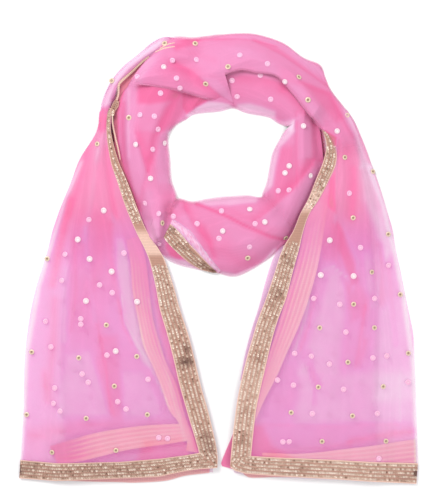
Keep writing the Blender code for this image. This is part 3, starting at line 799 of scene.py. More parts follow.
TOP_FRONT = [
    BandRow(136, 88, 126.5, 87),
    BandRow(142, 86.5, 136.5, 73),
    BandRow(160, 89, 148.5, 58.5),
    BandRow(184, 94, 171, 38.5),
    BandRow(203, 100, 192, 37.2),
    BandRow(219, 104, 202, 36),
    BandRow(234, 107.5, 210, 35),
    BandRow(229, 97, 215, 34.3),
    BandRow(221, 81, 222, 34),
    BandRow(239, 73, 238, 33),
    BandRow(256, 75.5, 257, 34),
    BandRow(276, 79, 283, 42.5),
    BandRow(293, 98, 303, 57),
    BandRow(299, 106, 320.5, 64.6),
    BandRow(305, 113.5, 326, 78),
    BandRow(311, 120, 332, 91),
    BandRow(321, 131, 346, 109),
    BandRow(328, 138, 354.5, 121),
    BandRow(332, 147, 361, 137),
    BandRow(334, 155, 366, 152),
    BandRow(334, 164, 370, 165),
]
top_front_folds, top_front_net, top_front_grid = stretch(
    "top_front_pass", TOP_FRONT, front_creases, front_folds, 0.28,
    ["top_front_pass", "right_tail", "top_inner_pass", "left_inner_pass"],
    fall=0.4, lift=0.0005, fades=(1.4, 3),
)


def sheet_tree(*grids):
    """The faces of sheets made here, for laying a ribbon or a sequin on them."""
    points, faces = [], []
    for grid in grids:
        rows, columns = grid.shape[:2]
        start = len(points)
        points += [Vector(point) for point in grid.reshape(-1, 3)]
        for r in range(rows - 1):
            for c in range(columns - 1):
                corner = start + r * columns + c
                faces.append((corner, corner + 1, corner + columns + 1, corner + columns))
    return BVHTree.FromPolygons(points, faces)


# The gap between the top back pass and the left inner pass: a sheet of net coloured deep maroon, as painted
# shade for the shadowed crease there.
GAP_ACROSS = 7
GAP_LIFT = 0.0008
GAP_SHADE_PINK = 1.8
GAP_COVER = 0.95
GAP_BOTTOM = [
    BandRow(147.8, 58.5, 149.5, 60),
    BandRow(136, 69, 139, 72),
    BandRow(124, 80, 130.5, 81.5),
    BandRow(120.5, 84, 127.5, 87),
    BandRow(120, 89.5, 123.5, 91),
    BandRow(117.5, 95, 120.5, 95.5),
    BandRow(115, 101, 118, 101.5),
]
gap_tree = sheet_tree(top_back_grid, left_inner_grid)
gap_sections = smooth_rows(GAP_BOTTOM, PER_BAND_ROW)
gap_share = np.linspace(0, 1, GAP_ACROSS)
gap_ground = between(lay(gap_sections[:, 0:2]), lay(gap_sections[:, 2:4]), gap_share)
gap_grid = drape(gap_ground, gap_tree, GAP_LIFT)
gap_shade_depth = GAP_SHADE_PINK + 0 * gap_grid[:, :, 0]
gap_shade_net = sheet_mesh("gap_shade_net", gap_grid, gap_shade_depth, pink_net, GAP_COVER + 0 * gap_shade_depth)

# Sequin dots.
# Round flat sequins, each heat-set on the net in staggered rows: gold with a dark middle from the right side,
# white as a painted highlight where they catch the light, and pale from the wrong side, where they show
# through another layer of net.

DOT = 0.0037


def dot_finish(name, rim, middle, metallic, roughness):
    """Foil on a sequin, darker in its pressed middle."""
    finish, tree, shader = new_finish(name)
    tree.links.new(dyed(tree, painted(tree, "ring"), (0, 1), (rim, middle)), shader.inputs["Base Color"])
    shader.inputs["Metallic"].default_value = metallic
    shader.inputs["Roughness"].default_value = roughness
    return finish


gold_dots = dot_finish("gold_dots", (0.70, 0.54, 0.40), (0.30, 0.20, 0.14), 0.1, 0.4)
pale_dots = dot_finish("pale_dots", (0.82, 0.43, 0.62), (0.82, 0.50, 0.64), 0.0, 0.5)
# White dots are a painted highlight on the top layer, and the pale wrong side on the layers beneath.
white_dots = dot_finish("white_dots", (0.80, 0.58, 0.66), (0.80, 0.74, 0.74), 0.0, 0.4)


def one_sequin(sides, radius, presses):
    """One sequin, made once: a disc with its middle pressed in or out, by shares of its radius."""
    bpy.ops.object.select_all(action="DESELECT")
    bpy.ops.mesh.primitive_circle_add(vertices=sides, radius=radius, fill_type="NGON")
    bpy.ops.object.mode_set(mode="EDIT")
    bpy.ops.mesh.select_all(action="SELECT")
    for inset, depth in presses:
        bpy.ops.mesh.inset(thickness=radius * inset, depth=radius * depth)
    bpy.ops.object.mode_set(mode="OBJECT")
    made = bpy.context.object
    points = np.array([vert.co[:] for vert in made.data.vertices])
    faces = [list(face.vertices) for face in made.data.polygons]
    bpy.data.objects.remove(made)
    return points, faces


dot_points, dot_faces = one_sequin(12, DOT, ((0.45, 0.16), (0.2, -0.2)))
dot_ring = (np.hypot(dot_points[:, 0], dot_points[:, 1]) < DOT * 0.45).astype(float)


def spot_on(grid, row, column):
    """A place on a sheet, and the way out of it, between its points."""
    r = int(min(max(row, 0), grid.shape[0] - 1.001))
    c = int(min(max(column, 0), grid.shape[1] - 1.001))
    a, b = row - r, column - c
    low = grid[r, c] * (1 - b) + grid[r, c + 1] * b
    high = grid[r + 1, c] * (1 - b) + grid[r + 1, c + 1] * b
    out = np.cross(grid[r, c + 1] - grid[r, c], grid[r + 1, c] - grid[r, c])
    out = out / max(np.linalg.norm(out), 1e-12)
    return low * (1 - a) + high * a, out if out[2] > 0 else -out


def stamp(name, places, points, faces, values, attribute, finish, tilt=0.0, seed=1, size=1.0):
    """One piece with a copy of a small shape at each place, lying along the sheet and a little tilted."""
    random = np.random.default_rng(seed)
    all_points, all_faces, all_values = [], [], []
    for place, out, shade in places:
        lean = out + tilt * random.normal(size=3)
        turn = Vector(lean).to_track_quat("Z", "Y").to_matrix()
        start = len(all_points)
        for point in points:
            all_points.append(Vector(place) + turn @ Vector(point * size))
        all_faces += [[start + vert for vert in face] for face in faces]
        all_values.append(values(random, shade))
    mesh = bpy.data.meshes.new(name)
    mesh.from_pydata(all_points, [], all_faces)
    layer = mesh.attributes.new(attribute, "FLOAT", "POINT")
    layer.data.foreach_set("value", np.concatenate(all_values).astype(np.float32))
    mesh.materials.append(finish)
    piece = bpy.data.objects.new(name, mesh)
    scene.collection.objects.link(piece)
    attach(piece, "root")
    return piece


def dots(name, places, finish, lift=0.0008, seed=1, size=1.0):
    """Sequin dots on a sheet, at these places on it."""
    raised = [(place + out * lift, out, 0) for place, out in places]
    return stamp(
        name, raised, dot_points, dot_faces, lambda random, shade: dot_ring, "ring", finish, 0.05, seed, size
    )


def spots_under(places, tree):
    """Where places on the photograph's grid fall on the sheets under them, and the way out there."""
    spots = []
    for x, y in lay(places):
        found, out = tree.ray_cast(Vector((x, y, 0.2)), Vector((0, 0, -1)))[:2]
        if found is not None:
            spots.append((np.array(found), np.array(out if out.z > 0 else -out)))
    return spots


def low_lattice(low, first, pitch, start, rise, along, columns):
    """Places in staggered rows on one of the layers beneath."""
    places = []
    count = int((along[-1] - start - 0.12) / rise)
    for row in range(count):
        r = np.interp(start + row * rise, along, np.arange(len(along)))
        s = first + (row % 2) * pitch / 2
        while s < 1:
            places.append(spot_on(low, r, columns[0] + s * (columns[1] - columns[0])))
            s += pitch
    return places


tails_tree = sheet_tree(left_grid, right_grid)
loop_tree = sheet_tree(
    top_inner_grid, right_inner_grid, cowl_grid, left_inner_grid, top_back_grid, top_front_grid
)
TAIL_GOLD = [
    (106.8, 324.7), (32, 351.8), (79.3, 357.4), (137.1, 356), (114.8, 385.5), (86.6, 417.7), (147.6, 413.9),
    (27, 414.3), (52.5, 451.8), (116.4, 449.5), (47.5, 258.7), (97.8, 144.4), (352.7, 218), (371, 272),
    (353.2, 304), (319.2, 327.4), (373.7, 327.4), (372.5, 171.7), (388, 234.2), (400, 294.4), (317.9, 386.5),
    (382.6, 386), (290.9, 411.9), (352, 415.2), (347.4, 361.8), (408, 353), (321.6, 440.6), (385.4, 440.6),
    (344.3, 157.7), (346.8, 115.5),
]
TAIL_GLINTS = [
    (104.3, 210.6), (78.4, 239.5), (90, 258.9), (112, 271.4), (86.4, 300.8), (137.4, 301.5), (329.2, 240.3),
    (353.2, 276), (320.3, 274.9), (116.1, 350.7),
]
TAIL_PALE = [
    (89.4, 219.8), (100, 284.8), (124.4, 253), (46, 321.2), (81.3, 324), (81.3, 318.5), (112.6, 292.5),
    (107.4, 354.7), (51.2, 346.7), (82.6, 373.5), (88.7, 381.8), (55.2, 387.5), (53.8, 403),
    (60.5, 410.6), (118.1, 401), (126.4, 408.3), (148.3, 378.8), (159, 437), (167.7, 437.8),
    (348.8, 193.4), (359.9, 247.6), (313.4, 298.3), (339.3, 304), (345.4, 331.8), (388.4, 265.4),
    (373.9, 298.3), (310.8, 355.8), (328.9, 363.5), (294.3, 353), (372.2, 357.4), (386.3, 355.6),
    (293.2, 384.6), (343.1, 388.8), (407.7, 382), (311.9, 412.9), (376.8, 412.9), (282.7, 441),
    (288.9, 441), (378.4, 457.9), (277.4, 379.6), (62.2, 280.4), (65.4, 254.2),
]
LOOP_GOLD = [
    (227.9, 69.1), (205.9, 85.4), (307, 101.5), (112, 81.1), (162.7, 223.3), (285.7, 237.8), (298, 78.8),
    (247.5, 257.8), (129.4, 118.4), (164.9, 44.4), (195.2, 44.4),
]
LOOP_GLINTS = [
    (164.1, 68.4), (284.4, 83.2), (164.6, 143.4), (249.6, 209.6), (264.5, 222.2), (222.7, 231.2),
    (288.7, 166.5), (284.6, 173.5), (310, 176), (302.8, 127), (151.1, 179), (136.5, 145.4),
    (336.6, 131.6),
]
LOOP_PALE = [
    (196.7, 60.7), (172.8, 61.7), (140.6, 115.8), (154.9, 117.3), (158.5, 130), (153.2, 150), (137.9, 78),
    (231.9, 81.6), (180.4, 89.5), (239.6, 57.1), (260, 76.5), (267, 65.8), (270.3, 100.3), (237, 97.4),
    (159.4, 214), (159, 244), (173.6, 216.6), (197.2, 223.9), (221.5, 211.2), (219, 238.5), (249.3, 247),
    (254.8, 223.9), (277.8, 191.2), (288.7, 190.6), (161, 94.4), (145.5, 203.5), (177, 80),
]
dots("tail_gold_dots", spots_under(TAIL_GOLD, tails_tree), gold_dots, seed=1, size=1.1)
dots("tail_glint_dots", spots_under(TAIL_GLINTS, tails_tree), white_dots, seed=2, size=1.3)
dots("tail_pale_dots", spots_under(TAIL_PALE, tails_tree), pale_dots, lift=0.0003, seed=3, size=1.2)
dots("loop_gold_dots", spots_under(LOOP_GOLD, loop_tree), gold_dots, seed=4, size=1.2)
dots("loop_glint_dots", spots_under(LOOP_GLINTS, loop_tree), white_dots, seed=5, size=1.2)
dots("loop_pale_dots", spots_under(LOOP_PALE, loop_tree), pale_dots, lift=0.0003, seed=6, size=1.2)

MIDDLE_COLUMNS = (LOW_ACROSS + 2, 2 * LOW_ACROSS + 1)
FLOOR_COLUMNS = (1, LOW_ACROSS)
left_hidden = low_lattice(left_low, 0.15, 0.4, 0.06, 0.05, left_along, MIDDLE_COLUMNS)
left_hidden += low_lattice(left_low, 0.2, 0.33, 0.075, 0.05, left_along, FLOOR_COLUMNS)
right_hidden = low_lattice(right_low, 0.1, 0.4, 0.07, 0.05, right_along, MIDDLE_COLUMNS)
right_hidden += low_lattice(right_low, 0.3, 0.35, 0.05, 0.048, right_along, FLOOR_COLUMNS)
left_hidden_dots = dots("left_tail_hidden_dots", left_hidden, white_dots, seed=7)
right_hidden_dots = dots("right_tail_hidden_dots", right_hidden, white_dots, seed=8)

# The sequin ribbon.
# A woven ribbon 29 mm wide in rose gold, with five rows of small cupped sequins stitched down its length and
# a plain peach selvedge at each edge. It is sewn flat on the right side of the net, on both sides and hems.

SEQUIN = 0.0018
SEQUIN_PITCH = 0.0038
SEQUIN_ROWS = (-0.0108, -0.0054, 0, 0.0054, 0.0108)
RIBBON_WIDE = 0.029
RIBBON_SHARES = (0, 0.03, 0.06, 0.12, 0.18, 0.24, 0.3, 0.36, 0.42, 0.5, 0.6, 0.7, 0.8, 0.87, 0.94, 0.97, 1)
SELVEDGES = (1, 1, 0.2, 0, 0, 0, 0, 0, 0, 0, 0, 0, 0, 0, 0.2, 1, 1)
BACK_ACROSS = 31
BACK_ROWS = 5
# Painted shade on a ribbon, with painted light where the amount is below 0: a place on the photograph's grid,
# its reach in steps and how much.
RibbonShade = namedtuple("RibbonShade", "x y reach depth")


def ribbon_finish(name, dark, ground, selvedge, roughness):
    """Woven ribbon: its ground, with a lighter selvedge, a fine rib and flecks of thread. Its darkest colour
    is painted shade on the right side, and pinker ribbon under more net on the wrong side.
    """
    finish, tree, shader = new_finish(name)
    nodes, links = tree.nodes, tree.links
    depth = ranged(tree, painted(tree, "pink"), from_min=-1, from_max=1)
    colour = dyed(tree, depth, (0, 0.5, 1), (dark, ground, selvedge))
    place = nodes.new("ShaderNodeUVMap")
    place.uv_map = "cloth"
    rib = nodes.new("ShaderNodeTexWave")
    rib.bands_direction = "Y"
    rib.inputs["Scale"].default_value = 110
    rib.inputs["Distortion"].default_value = 0.6
    rib.inputs["Detail"].default_value = 1
    links.new(place.outputs["UV"], rib.inputs["Vector"])
    flecks = nodes.new("ShaderNodeTexNoise")
    flecks.inputs["Scale"].default_value = 420
    flecks.inputs["Detail"].default_value = 2
    links.new(place.outputs["UV"], flecks.inputs["Vector"])
    both = nodes.new("ShaderNodeMath")
    both.operation = "MULTIPLY"
    links.new(rib.outputs["Fac"], both.inputs[0])
    links.new(flecks.outputs["Fac"], both.inputs[1])
    light = ranged(tree, both.outputs[0], from_max=0.6, to_min=0.82, to_max=1.14)
    woven(tree, shader, colour, light, both.outputs[0], 0.5, 0.0004)
    shader.inputs["Roughness"].default_value = roughness
    return finish


ribbon_front = ribbon_finish("ribbon_front", (0.12, 0.05, 0.04), (0.44, 0.23, 0.17), (0.80, 0.54, 0.44), 0.5)
ribbon_back = ribbon_finish("ribbon_back", (0.76, 0.32, 0.32), (0.87, 0.76, 0.42), (0.95, 0.97, 0.68), 0.6)
net_hem = ribbon_finish("net_hem", (0.74, 0.24, 0.32), (0.82, 0.38, 0.40), (0.88, 0.55, 0.52), 0.6)


# Foil colours along each sequin's painted glint, from 0 to 1.
FOIL_PLACES = (0, 0.3, 0.55, 0.8, 1)
FOILS = ((0.12, 0.06, 0.04), (0.33, 0.20, 0.14), (0.58, 0.42, 0.33), (0.74, 0.60, 0.49), (0.98, 0.92, 0.84))


def sequin_finish():
    """Foil sequins, each a little different by a random painted glint: brown, rose gold, champagne or
    nearly white.
    """
    finish, tree, shader = new_finish("rose_gold_sequins")
    foil = dyed(tree, painted(tree, "glint"), FOIL_PLACES, FOILS)
    tree.links.new(foil, shader.inputs["Base Color"])
    shader.inputs["Metallic"].default_value = 0.35
    shader.inputs["Roughness"].default_value = 0.35
    return finish


rose_gold = sequin_finish()


# Cupped, with a sunk middle.
sequin_points, sequin_faces = one_sequin(8, SEQUIN, ((0.62, -0.28),))
sequin_middle = np.hypot(sequin_points[:, 0], sequin_points[:, 1]) < SEQUIN * 0.5


def sequin_values(random, shade):
    """How bright one sequin is: a random painted glint, dimmed by painted shade, with its sunk middle dark.
    """
    bright = np.clip(random.normal(0.86, 0.18) - shade, 0.05, 1)
    return np.where(sequin_middle, max(0, bright - 0.45), bright)


def shade_patch_shares(spots, shade_patches):
    """How much painted shade each spot of a ribbon takes, with painted light where it is below 0."""
    dark = np.zeros(spots.shape[:-1])
    for patch in shade_patches:
        off = spots - lay((patch.x, patch.y))
        dark += patch.depth * np.exp(-(off[..., 0] ** 2 + off[..., 1] ** 2) / (patch.reach * STEP) ** 2)
    return dark


def strip(name, left, right, tree, lift, replaced=(), shade_patches=(), bare=(), spans=0):
    """A run of ribbon between two lines of places, right side up, laid on what carries it. A stiffer run
    spans the dips under it."""
    ground = between(left, right, np.array(RIBBON_SHARES))
    grid = bridged(drape(ground, tree, lift), spans)
    depth = np.array(SELVEDGES)[None, :] + 0 * grid[:, :, 0]
    rows = np.linspace(0, 1, len(grid))[:, None]
    for start, end in bare:
        depth = np.maximum(depth, 0.8 * ease((rows - start) / 0.03) * ease((end - rows) / 0.03))
    # Painted shade and painted light on the ribbon's ground.
    depth = depth - shade_patch_shares(ground, shade_patches)
    piece = sheet_mesh(name, grid, np.clip(depth, -1, 1), ribbon_front)
    if replaced:
        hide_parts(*replaced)
    return piece, grid


def back_strip(name, left, right, tree, lift, replaced=(), sunk=(0.0, 0.0), fades=0.0, finish=ribbon_back):
    """A run of ribbon wrong side up, whose rows of stitches show as lighter lines along it. It is pinker
    where more net lies over it: by its sunk values at its left and right edges, and its fade at its end."""
    share = np.linspace(0, 1, BACK_ACROSS)
    ground = between(left, right, share)
    grid = drape(ground, tree, lift)
    rows = np.linspace(0, 1, len(grid))[:, None]
    lines = (0.5 - 0.5 * np.cos(2 * math.pi * BACK_ROWS * share)[None, :]) ** 2
    edges = np.exp(-((share - 0.5) ** 2 - 0.25) ** 2 / 0.001)[None, :]
    under = sunk[0] * (1 - share) ** 2 + sunk[1] * share**2
    depth = np.maximum(0.9 * lines, edges) - 0.15 - under[None, :] - fades * ease((rows - 0.6) / 0.4)
    grid[:, :, 2] += 0.0002 * lines
    piece = sheet_mesh(name, grid, np.clip(depth, -1, 1), finish)
    if replaced:
        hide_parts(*replaced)
    return piece


def sequins(name, grid, seed, rows=SEQUIN_ROWS, bare=(), shade_patches=()):
    """Rows of sequins down a run of ribbon, but for its bare spans. Outer rows end where it narrows."""
    middle = grid[:, grid.shape[1] // 2]
    along = np.concatenate([[0], np.cumsum(np.linalg.norm(np.diff(middle, axis=0), axis=1))])
    wide = np.linalg.norm(grid[:, -1] - grid[:, 0], axis=1)
    places = []
    for number, offset in enumerate(rows):
        for step in np.arange(SEQUIN_PITCH / 2 * (1 + number % 2), along[-1], SEQUIN_PITCH):
            row = np.interp(step, along, np.arange(len(along)))
            width = np.interp(step, along, wide)
            skipped = any(start <= step / along[-1] <= end for start, end in bare)
            if skipped or abs(offset) > width / 2 - SEQUIN:
                continue
            share = 0.5 + offset / min(width, RIBBON_WIDE)
            column = np.interp(share, RIBBON_SHARES, np.arange(len(RIBBON_SHARES)))
            place, out = spot_on(grid, row, column)
            # Painted shade dims the sequins too.
            shade = shade_patch_shares(place[:2], shade_patches) * 0.5
            places.append((place + out * 0.0006, out, shade))
    return stamp(name, places, sequin_points, sequin_faces, sequin_values, "glint", rose_gold, 0.2, seed)


def tail_border(side, grid, sections, seed, shade_patches, bare, hem_shade_patches):
    """The side border and the hem border of a tail's top layer, mitred where they meet."""
    tree = sheet_tree(grid)
    share = sections[:, 4] * STEP / np.linalg.norm(lay(sections[:, 0:2]) - lay(sections[:, 2:4]), axis=1)
    columns = np.arange(grid.shape[1])
    across = np.linalg.norm(grid - grid[:, :1], axis=2) / np.linalg.norm(grid[:, -1:] - grid[:, :1], axis=2)
    inner = grid[:, 0, :2]
    wide = share * np.clip(np.arange(len(share)) / PER_TAIL_ROW, 0, 1)
    beside = np.array([
        [np.interp(wide[r], across[r], grid[r, :, k]) for k in (0, 1)] for r in range(len(grid))
    ])
    side_piece, side_grid = strip(
        side + "_side_ribbon", inner, beside, tree, 0.0006, (side + "_side_border",), shade_patches, bare
    )
    first = np.interp(share[PER_TAIL_ROW], across[PER_TAIL_ROW], columns)
    low_columns = np.linspace(0, grid.shape[1] - 1, 110)
    high_columns = first + (grid.shape[1] - 1 - first) * np.linspace(0, 1, 110)
    low_line = np.column_stack([np.interp(low_columns, columns, grid[0, :, k]) for k in (0, 1)])
    high_line = np.column_stack([np.interp(high_columns, columns, grid[PER_TAIL_ROW, :, k]) for k in (0, 1)])
    hem_piece, hem_grid = strip(
        side + "_hem_ribbon", low_line, high_line, tree, 0.0006, (side + "_hem_border",), shade_patches + hem_shade_patches,
        spans=80,
    )
    side_sequins = sequins(side + "_side_sequins", side_grid, seed, bare=bare, shade_patches=shade_patches)
    hem_sequins = sequins(side + "_hem_sequins", hem_grid, seed + 1, shade_patches=shade_patches + hem_shade_patches)
    return side_piece, hem_piece, side_sequins, hem_sequins


# Patches of painted shade on the ribbons, with painted light where the amount is below 0.
LEFT_RIBBON_SHADES = [
    RibbonShade(188, 348, 5, 0.7), RibbonShade(183, 362, 5, 0.8), RibbonShade(190, 361, 5, 0.8), RibbonShade(19, 470, 4, 1.4),
    RibbonShade(32, 466, 7, 0.3),
    RibbonShade(207, 437, 6, 0.5), RibbonShade(211, 447, 6, 0.5), RibbonShade(182, 315, 6, 0.2), RibbonShade(108, 110, 4, 0.4),
    RibbonShade(107, 121, 4, 0.4),
]
RIGHT_RIBBON_SHADES = [
    RibbonShade(417, 473, 4, 1.6), RibbonShade(259, 358, 6, 0.5), RibbonShade(246, 412, 6, 0.35), RibbonShade(242, 440, 6, 0.4),
    RibbonShade(278, 292, 6, 0.4),
    RibbonShade(289, 262, 5, 0.4), RibbonShade(268, 300, 6, 0.2), RibbonShade(404, 478, 6, 0.3), RibbonShade(300, 470, 12, 0.2),
    RibbonShade(250, 400, 60, -0.3),
]
# Each hem takes one more wide patch: painted shade on the left, painted light on the right.
left_side_ribbon, left_hem_ribbon, left_side_sequins, left_hem_sequins = tail_border(
    "left", left_grid, left_sections, 21, LEFT_RIBBON_SHADES, [(0.56, 0.68)], [RibbonShade(100, 470, 70, 0.2)]
)
right_side_ribbon, right_hem_ribbon, right_side_sequins, right_hem_sequins = tail_border(
    "right", right_grid, right_sections, 31, RIGHT_RIBBON_SHADES, [(0.66, 0.76)], [RibbonShade(340, 472, 70, -0.1)]
)

RibbonRow = namedtuple("RibbonRow", "left_x left_y right_x right_y")
PER_RIBBON_ROW = 8


def ribbon_lines(rows):
    """The two edges of a run of ribbon, from its table."""
    sections = smooth_rows(rows, PER_RIBBON_ROW)
    return lay(sections[:, 0:2]), lay(sections[:, 2:4])


LEFT_UNDER_SIDE = [
    RibbonRow(186.5, 450, 198, 452),
    RibbonRow(186.5, 438, 193.5, 436),
    RibbonRow(178, 421, 187, 420),
    RibbonRow(169, 409, 183, 407),
    RibbonRow(161, 385.5, 177, 385),
    RibbonRow(152, 364, 167, 363),
    RibbonRow(143.5, 345, 160, 343),
    RibbonRow(138, 318, 153, 317),
    RibbonRow(133, 292, 149, 285),
    RibbonRow(131, 265, 146, 260),
    RibbonRow(127, 240, 139, 236),
]
LEFT_UNDER_HEM = [
    RibbonRow(184, 423, 188, 440),
    RibbonRow(160, 424, 164, 444),
    RibbonRow(144, 425, 148, 446),
    RibbonRow(120, 428, 124, 450),
    RibbonRow(96, 432.5, 100, 456),
    RibbonRow(72, 439, 78, 461),
    RibbonRow(50, 446, 58, 463),
]
left_top_tree = sheet_tree(left_grid)
left_under_side = back_strip(
    "left_under_side_ribbon", *ribbon_lines(LEFT_UNDER_SIDE), left_top_tree, -0.0006,
    ("left_under_side_border",),
    (0.3, 1.2), 1.0,
)
left_under_hem = back_strip(
    "left_under_hem_ribbon", *ribbon_lines(LEFT_UNDER_HEM), left_top_tree, -0.0008,
    ("left_under_hem_border",),
    (0.3, 0.0), 1.6,
)
RIGHT_UNDER_SIDE = [
    RibbonRow(243, 425, 251, 430),
    RibbonRow(255, 400, 264, 400),
    RibbonRow(262, 375, 276, 377),
    RibbonRow(270, 350, 287, 352),
    RibbonRow(279, 322, 299, 325),
    RibbonRow(286, 298, 308, 300),
    RibbonRow(294, 272, 316, 272),
    RibbonRow(300, 250, 320.5, 250),
    RibbonRow(305, 228, 324, 228),
    RibbonRow(311, 207, 327, 207),
    RibbonRow(320, 188, 330, 188),
]
RIGHT_UNDER_HEM = [
    RibbonRow(262, 452, 262, 468),
    RibbonRow(300, 453, 300, 467),
    RibbonRow(340, 449, 342, 468),
    RibbonRow(380, 444, 382, 466),
    RibbonRow(415, 439, 416, 463),
]
right_top_tree = sheet_tree(right_grid)
right_under_side = back_strip(
    "right_under_side_ribbon", *ribbon_lines(RIGHT_UNDER_SIDE), right_top_tree, -0.0006,
    ("right_under_side_border",), (1.2, 0.2), 0.6,
)
right_under_hem = back_strip(
    "right_under_hem_ribbon", *ribbon_lines(RIGHT_UNDER_HEM), right_top_tree, -0.0008,
    ("right_under_hem_border",),
    (0.0, 0.6),
)
COWL_RIBBON = [
    RibbonRow(170.6, 224, 164, 237.5),
    RibbonRow(178, 230.5, 169, 244),
    RibbonRow(188, 242, 179, 254),
    RibbonRow(199.7, 254.5, 189.5, 263),
    RibbonRow(209, 264.5, 200.5, 269.3),
    RibbonRow(217.5, 272.5, 213, 272.8),
]
cowl_tree = sheet_tree(cowl_grid, left_inner_grid)
# Painted shade at the ends of the cowl's ribbon.
COWL_RIBBON_SHADES = [RibbonShade(172, 229, 4, 0.6), RibbonShade(214, 271, 5, 0.6), RibbonShade(184, 247, 4, 0.2), RibbonShade(203, 265, 4, 0.4)]
cowl_ribbon, cowl_ribbon_grid = strip(
    "cowl_ribbon", *ribbon_lines(COWL_RIBBON), cowl_tree, 0.0010, ("cowl_border",), COWL_RIBBON_SHADES
)
cowl_sequins = sequins("cowl_sequins", cowl_ribbon_grid, 41, shade_patches=COWL_RIBBON_SHADES)
# Beside it the ribbon is folded under, and its sequins show through the net as pale flecks.
COWL_TURNED = [
    RibbonRow(173, 219, 170, 225),
    RibbonRow(182, 224, 178, 231),
    RibbonRow(192, 232, 187, 241),
    RibbonRow(203, 247, 198, 254),
    RibbonRow(212, 259.5, 208, 265),
    RibbonRow(221, 270.5, 218, 272.5),
]
TURNED_ACROSS = 13
turned_left, turned_right = ribbon_lines(COWL_TURNED)
turned_share = np.linspace(0, 1, TURNED_ACROSS)
turned_grid = drape(between(turned_left, turned_right, turned_share), cowl_tree, 0.0004)
turned_flecks = np.random.default_rng(61).normal(-0.5, 0.35, turned_grid.shape[:2])
turned_swell = np.sin(np.linspace(0.15, math.pi - 0.15, TURNED_ACROSS))
turned_cover = 0.9 * turned_swell[None, :] ** 0.5 + 0 * turned_flecks
cowl_turned = sheet_mesh("cowl_turned_net", turned_grid, turned_flecks, pink_net, turned_cover)

# The edges of the hidden layers.
# Where the layers beneath reach past the front ones, their ribbon shows wrong side up as a peach strip below
# each hem, and their net beside the right tail's border and at its corner.

LEFT_FLOOR_HEM = [
    RibbonRow(209.5, 466, 209.5, 472.7),
    RibbonRow(185, 468, 185, 475.7),
    RibbonRow(165, 472, 165, 480.7),
    RibbonRow(136, 474, 136, 482.5),
    RibbonRow(120, 474, 120, 482.1),
    RibbonRow(80, 475, 80, 481.2),
    RibbonRow(40, 474, 40, 479.5),
]
RIGHT_FLOOR_HEM = [
    RibbonRow(242, 468, 244, 474.5),
    RibbonRow(250, 470, 250, 477.5),
    RibbonRow(262, 471, 262, 477.5),
    RibbonRow(276, 472, 276, 477),
    RibbonRow(300, 473, 300, 477.2),
]
RIGHT_FLOOR_EDGE = [
    RibbonRow(281, 246, 290, 250),
    RibbonRow(275, 254, 287, 258),
    RibbonRow(270, 266.5, 281, 270),
    RibbonRow(264.5, 285, 274, 288),
    RibbonRow(258.5, 308, 267, 310),
    RibbonRow(252, 328, 260, 330),
    RibbonRow(245.5, 352, 254, 354),
    RibbonRow(240, 380, 246, 381),
]
RIGHT_FLOOR_CORNER = [
    RibbonRow(236.5, 424, 240, 424),
    RibbonRow(232, 436, 239, 436),
    RibbonRow(226.5, 449, 237, 449),
    RibbonRow(221.5, 462, 236, 461),
    RibbonRow(222, 466, 237, 470),
]
floor_tree = sheet_tree(np.array([[(-1, -1, 0), (1, -1, 0)], [(-1, 1, 0), (1, 1, 0)]], float))
left_floor_hem = back_strip(
    "left_floor_hem_ribbon", *ribbon_lines(LEFT_FLOOR_HEM), floor_tree, 0.0009, finish=net_hem
)
right_floor_hem = back_strip(
    "right_floor_hem_ribbon", *ribbon_lines(RIGHT_FLOOR_HEM), floor_tree, 0.0009, finish=net_hem
)
EDGE_ACROSS = 7


def net_edge(name, rows, lift, pink, cover):
    """A run of a hidden layer's net that shows past the layers on top."""
    left, right = ribbon_lines(rows)
    grid = drape(between(left, right, np.linspace(0, 1, EDGE_ACROSS)), floor_tree, lift)
    depth = np.zeros(grid.shape[:2]) + pink
    piece = sheet_mesh(name, grid, depth, pink_net, cover + 0 * depth)
    return piece


right_floor_edge = net_edge("right_floor_edge_net", RIGHT_FLOOR_EDGE, 0.0012, -0.3, 0.5)
right_floor_corner = net_edge("right_floor_corner_net", RIGHT_FLOOR_CORNER, 0.0015, 1.0, 0.8)

# The ribbon along the gap.
# The left tail's side border goes on under the top of the loop. It is seen nearly edge-on there: a twist of
# sequins, then one peach selvedge, and two short glimpses of it through the net at the top.

GAP_TWIST = [
    RibbonRow(111, 117, 114.5, 116),
    RibbonRow(110.5, 111, 115.5, 111),
    RibbonRow(112.5, 105, 118.5, 106.5),
    RibbonRow(115.5, 100, 119, 101.5),
]
GAP_EDGE = [
    RibbonRow(115.2, 102, 117, 102.5),
    RibbonRow(117.8, 94, 119.5, 94.5),
    RibbonRow(118, 86, 120, 86.5),
    RibbonRow(121, 80.8, 122.5, 82.6),
    RibbonRow(132, 71, 133.2, 72.8),
    RibbonRow(141, 62.5, 142, 64.2),
    RibbonRow(149, 56.5, 149.6, 58),
]
TAIL_EDGE = [
    RibbonRow(112.2, 114, 113.6, 114),
    RibbonRow(112.4, 124, 113.8, 124),
    RibbonRow(114.6, 136, 116, 135.6),
    RibbonRow(118, 150, 119.3, 149.5),
    RibbonRow(120.2, 160, 121, 159.8),
]
TOP_GLIMPSE = [
    RibbonRow(155, 52.8, 155.4, 53.6),
    RibbonRow(164, 49, 164.4, 50.2),
    RibbonRow(175, 47.3, 175.2, 48.1),
]
TOP_SECOND_GLIMPSE = [
    RibbonRow(160, 49.2, 160.4, 50),
    RibbonRow(168, 45, 168.4, 46),
    RibbonRow(175, 43.6, 175.2, 44.3),
]
front_tree = sheet_tree(left_grid, top_back_grid, top_front_grid)
gap_twist, gap_twist_grid = strip("gap_twist_ribbon", *ribbon_lines(GAP_TWIST), front_tree, 0.0016)
# Painted shade on the twist of sequins.
gap_twist_sequins = sequins("gap_twist_sequins", gap_twist_grid, 51, (0,), shade_patches=[RibbonShade(113, 108, 8, 0.3)])
all_bare = [(-0.1, 1.1)]
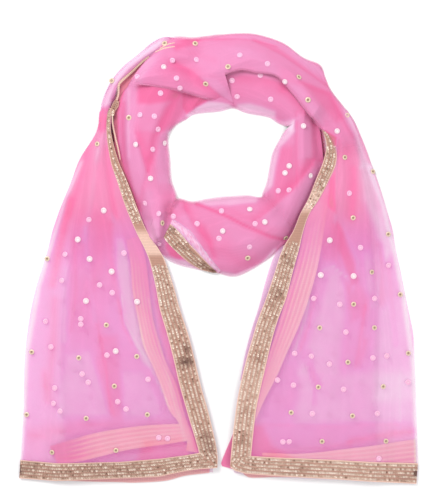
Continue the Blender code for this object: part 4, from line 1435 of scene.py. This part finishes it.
gap_edge, _ = strip("gap_edge_ribbon", *ribbon_lines(GAP_EDGE), front_tree, 0.0012, bare=all_bare)
tail_edge, _ = strip("tail_edge_ribbon", *ribbon_lines(TAIL_EDGE), front_tree, 0.0012, bare=all_bare)
top_glimpse, _ = strip("top_glimpse_ribbon", *ribbon_lines(TOP_GLIMPSE), front_tree, 0.0001, bare=all_bare)
top_second_glimpse, _ = strip(
    "top_second_glimpse_ribbon", *ribbon_lines(TOP_SECOND_GLIMPSE), front_tree, 0.0001, bare=all_bare
)

# Floor, light and camera.
# A plain pale floor under soft, nearly even studio light, seen from straight above through a long lens.

bpy.ops.object.select_all(action="DESELECT")
bpy.ops.mesh.primitive_plane_add(size=8, location=(0, 0, -0.0004))
floor = bpy.context.object
floor.name = "floor"
floor_finish, _, floor_shader = new_finish("pale_floor")
floor_shader.inputs["Base Color"].default_value = (0.93, 0.93, 0.93, 1)
floor_shader.inputs["Roughness"].default_value = 0.9
floor.data.materials.append(floor_finish)

world = bpy.data.worlds.new("studio")
world.use_nodes = True
world.node_tree.nodes["Background"].inputs["Color"].default_value = (1, 1, 1, 1)
world.node_tree.nodes["Background"].inputs["Strength"].default_value = 0.75
scene.world = world


def soft_light(name, place, size, power):
    """A square studio light, aimed at the middle of the loop."""
    bpy.ops.object.light_add(type="AREA", location=place)
    light = bpy.context.object
    light.name = name
    light.data.shape = "SQUARE"
    light.data.size = size
    light.data.energy = power
    light.rotation_euler = (-Vector(place)).to_track_quat("-Z", "Y").to_euler()


soft_light("key_light", (-0.9, 1.1, 1.6), 0.9, 26)
soft_light("fill_light", (1.2, -0.6, 1.8), 1.6, 12)

LENS = 110
DISTANCE = 0.8 * LENS / 36
bpy.ops.object.camera_add(location=(*lay((220, 250)), DISTANCE), rotation=(0, 0, 0))
camera = bpy.context.object
camera.name = "camera"
camera.data.lens = LENS
camera.data.clip_end = 20
scene.camera = camera
scene.view_settings.view_transform = "Standard"
scene.cycles.transparent_max_bounces = 32
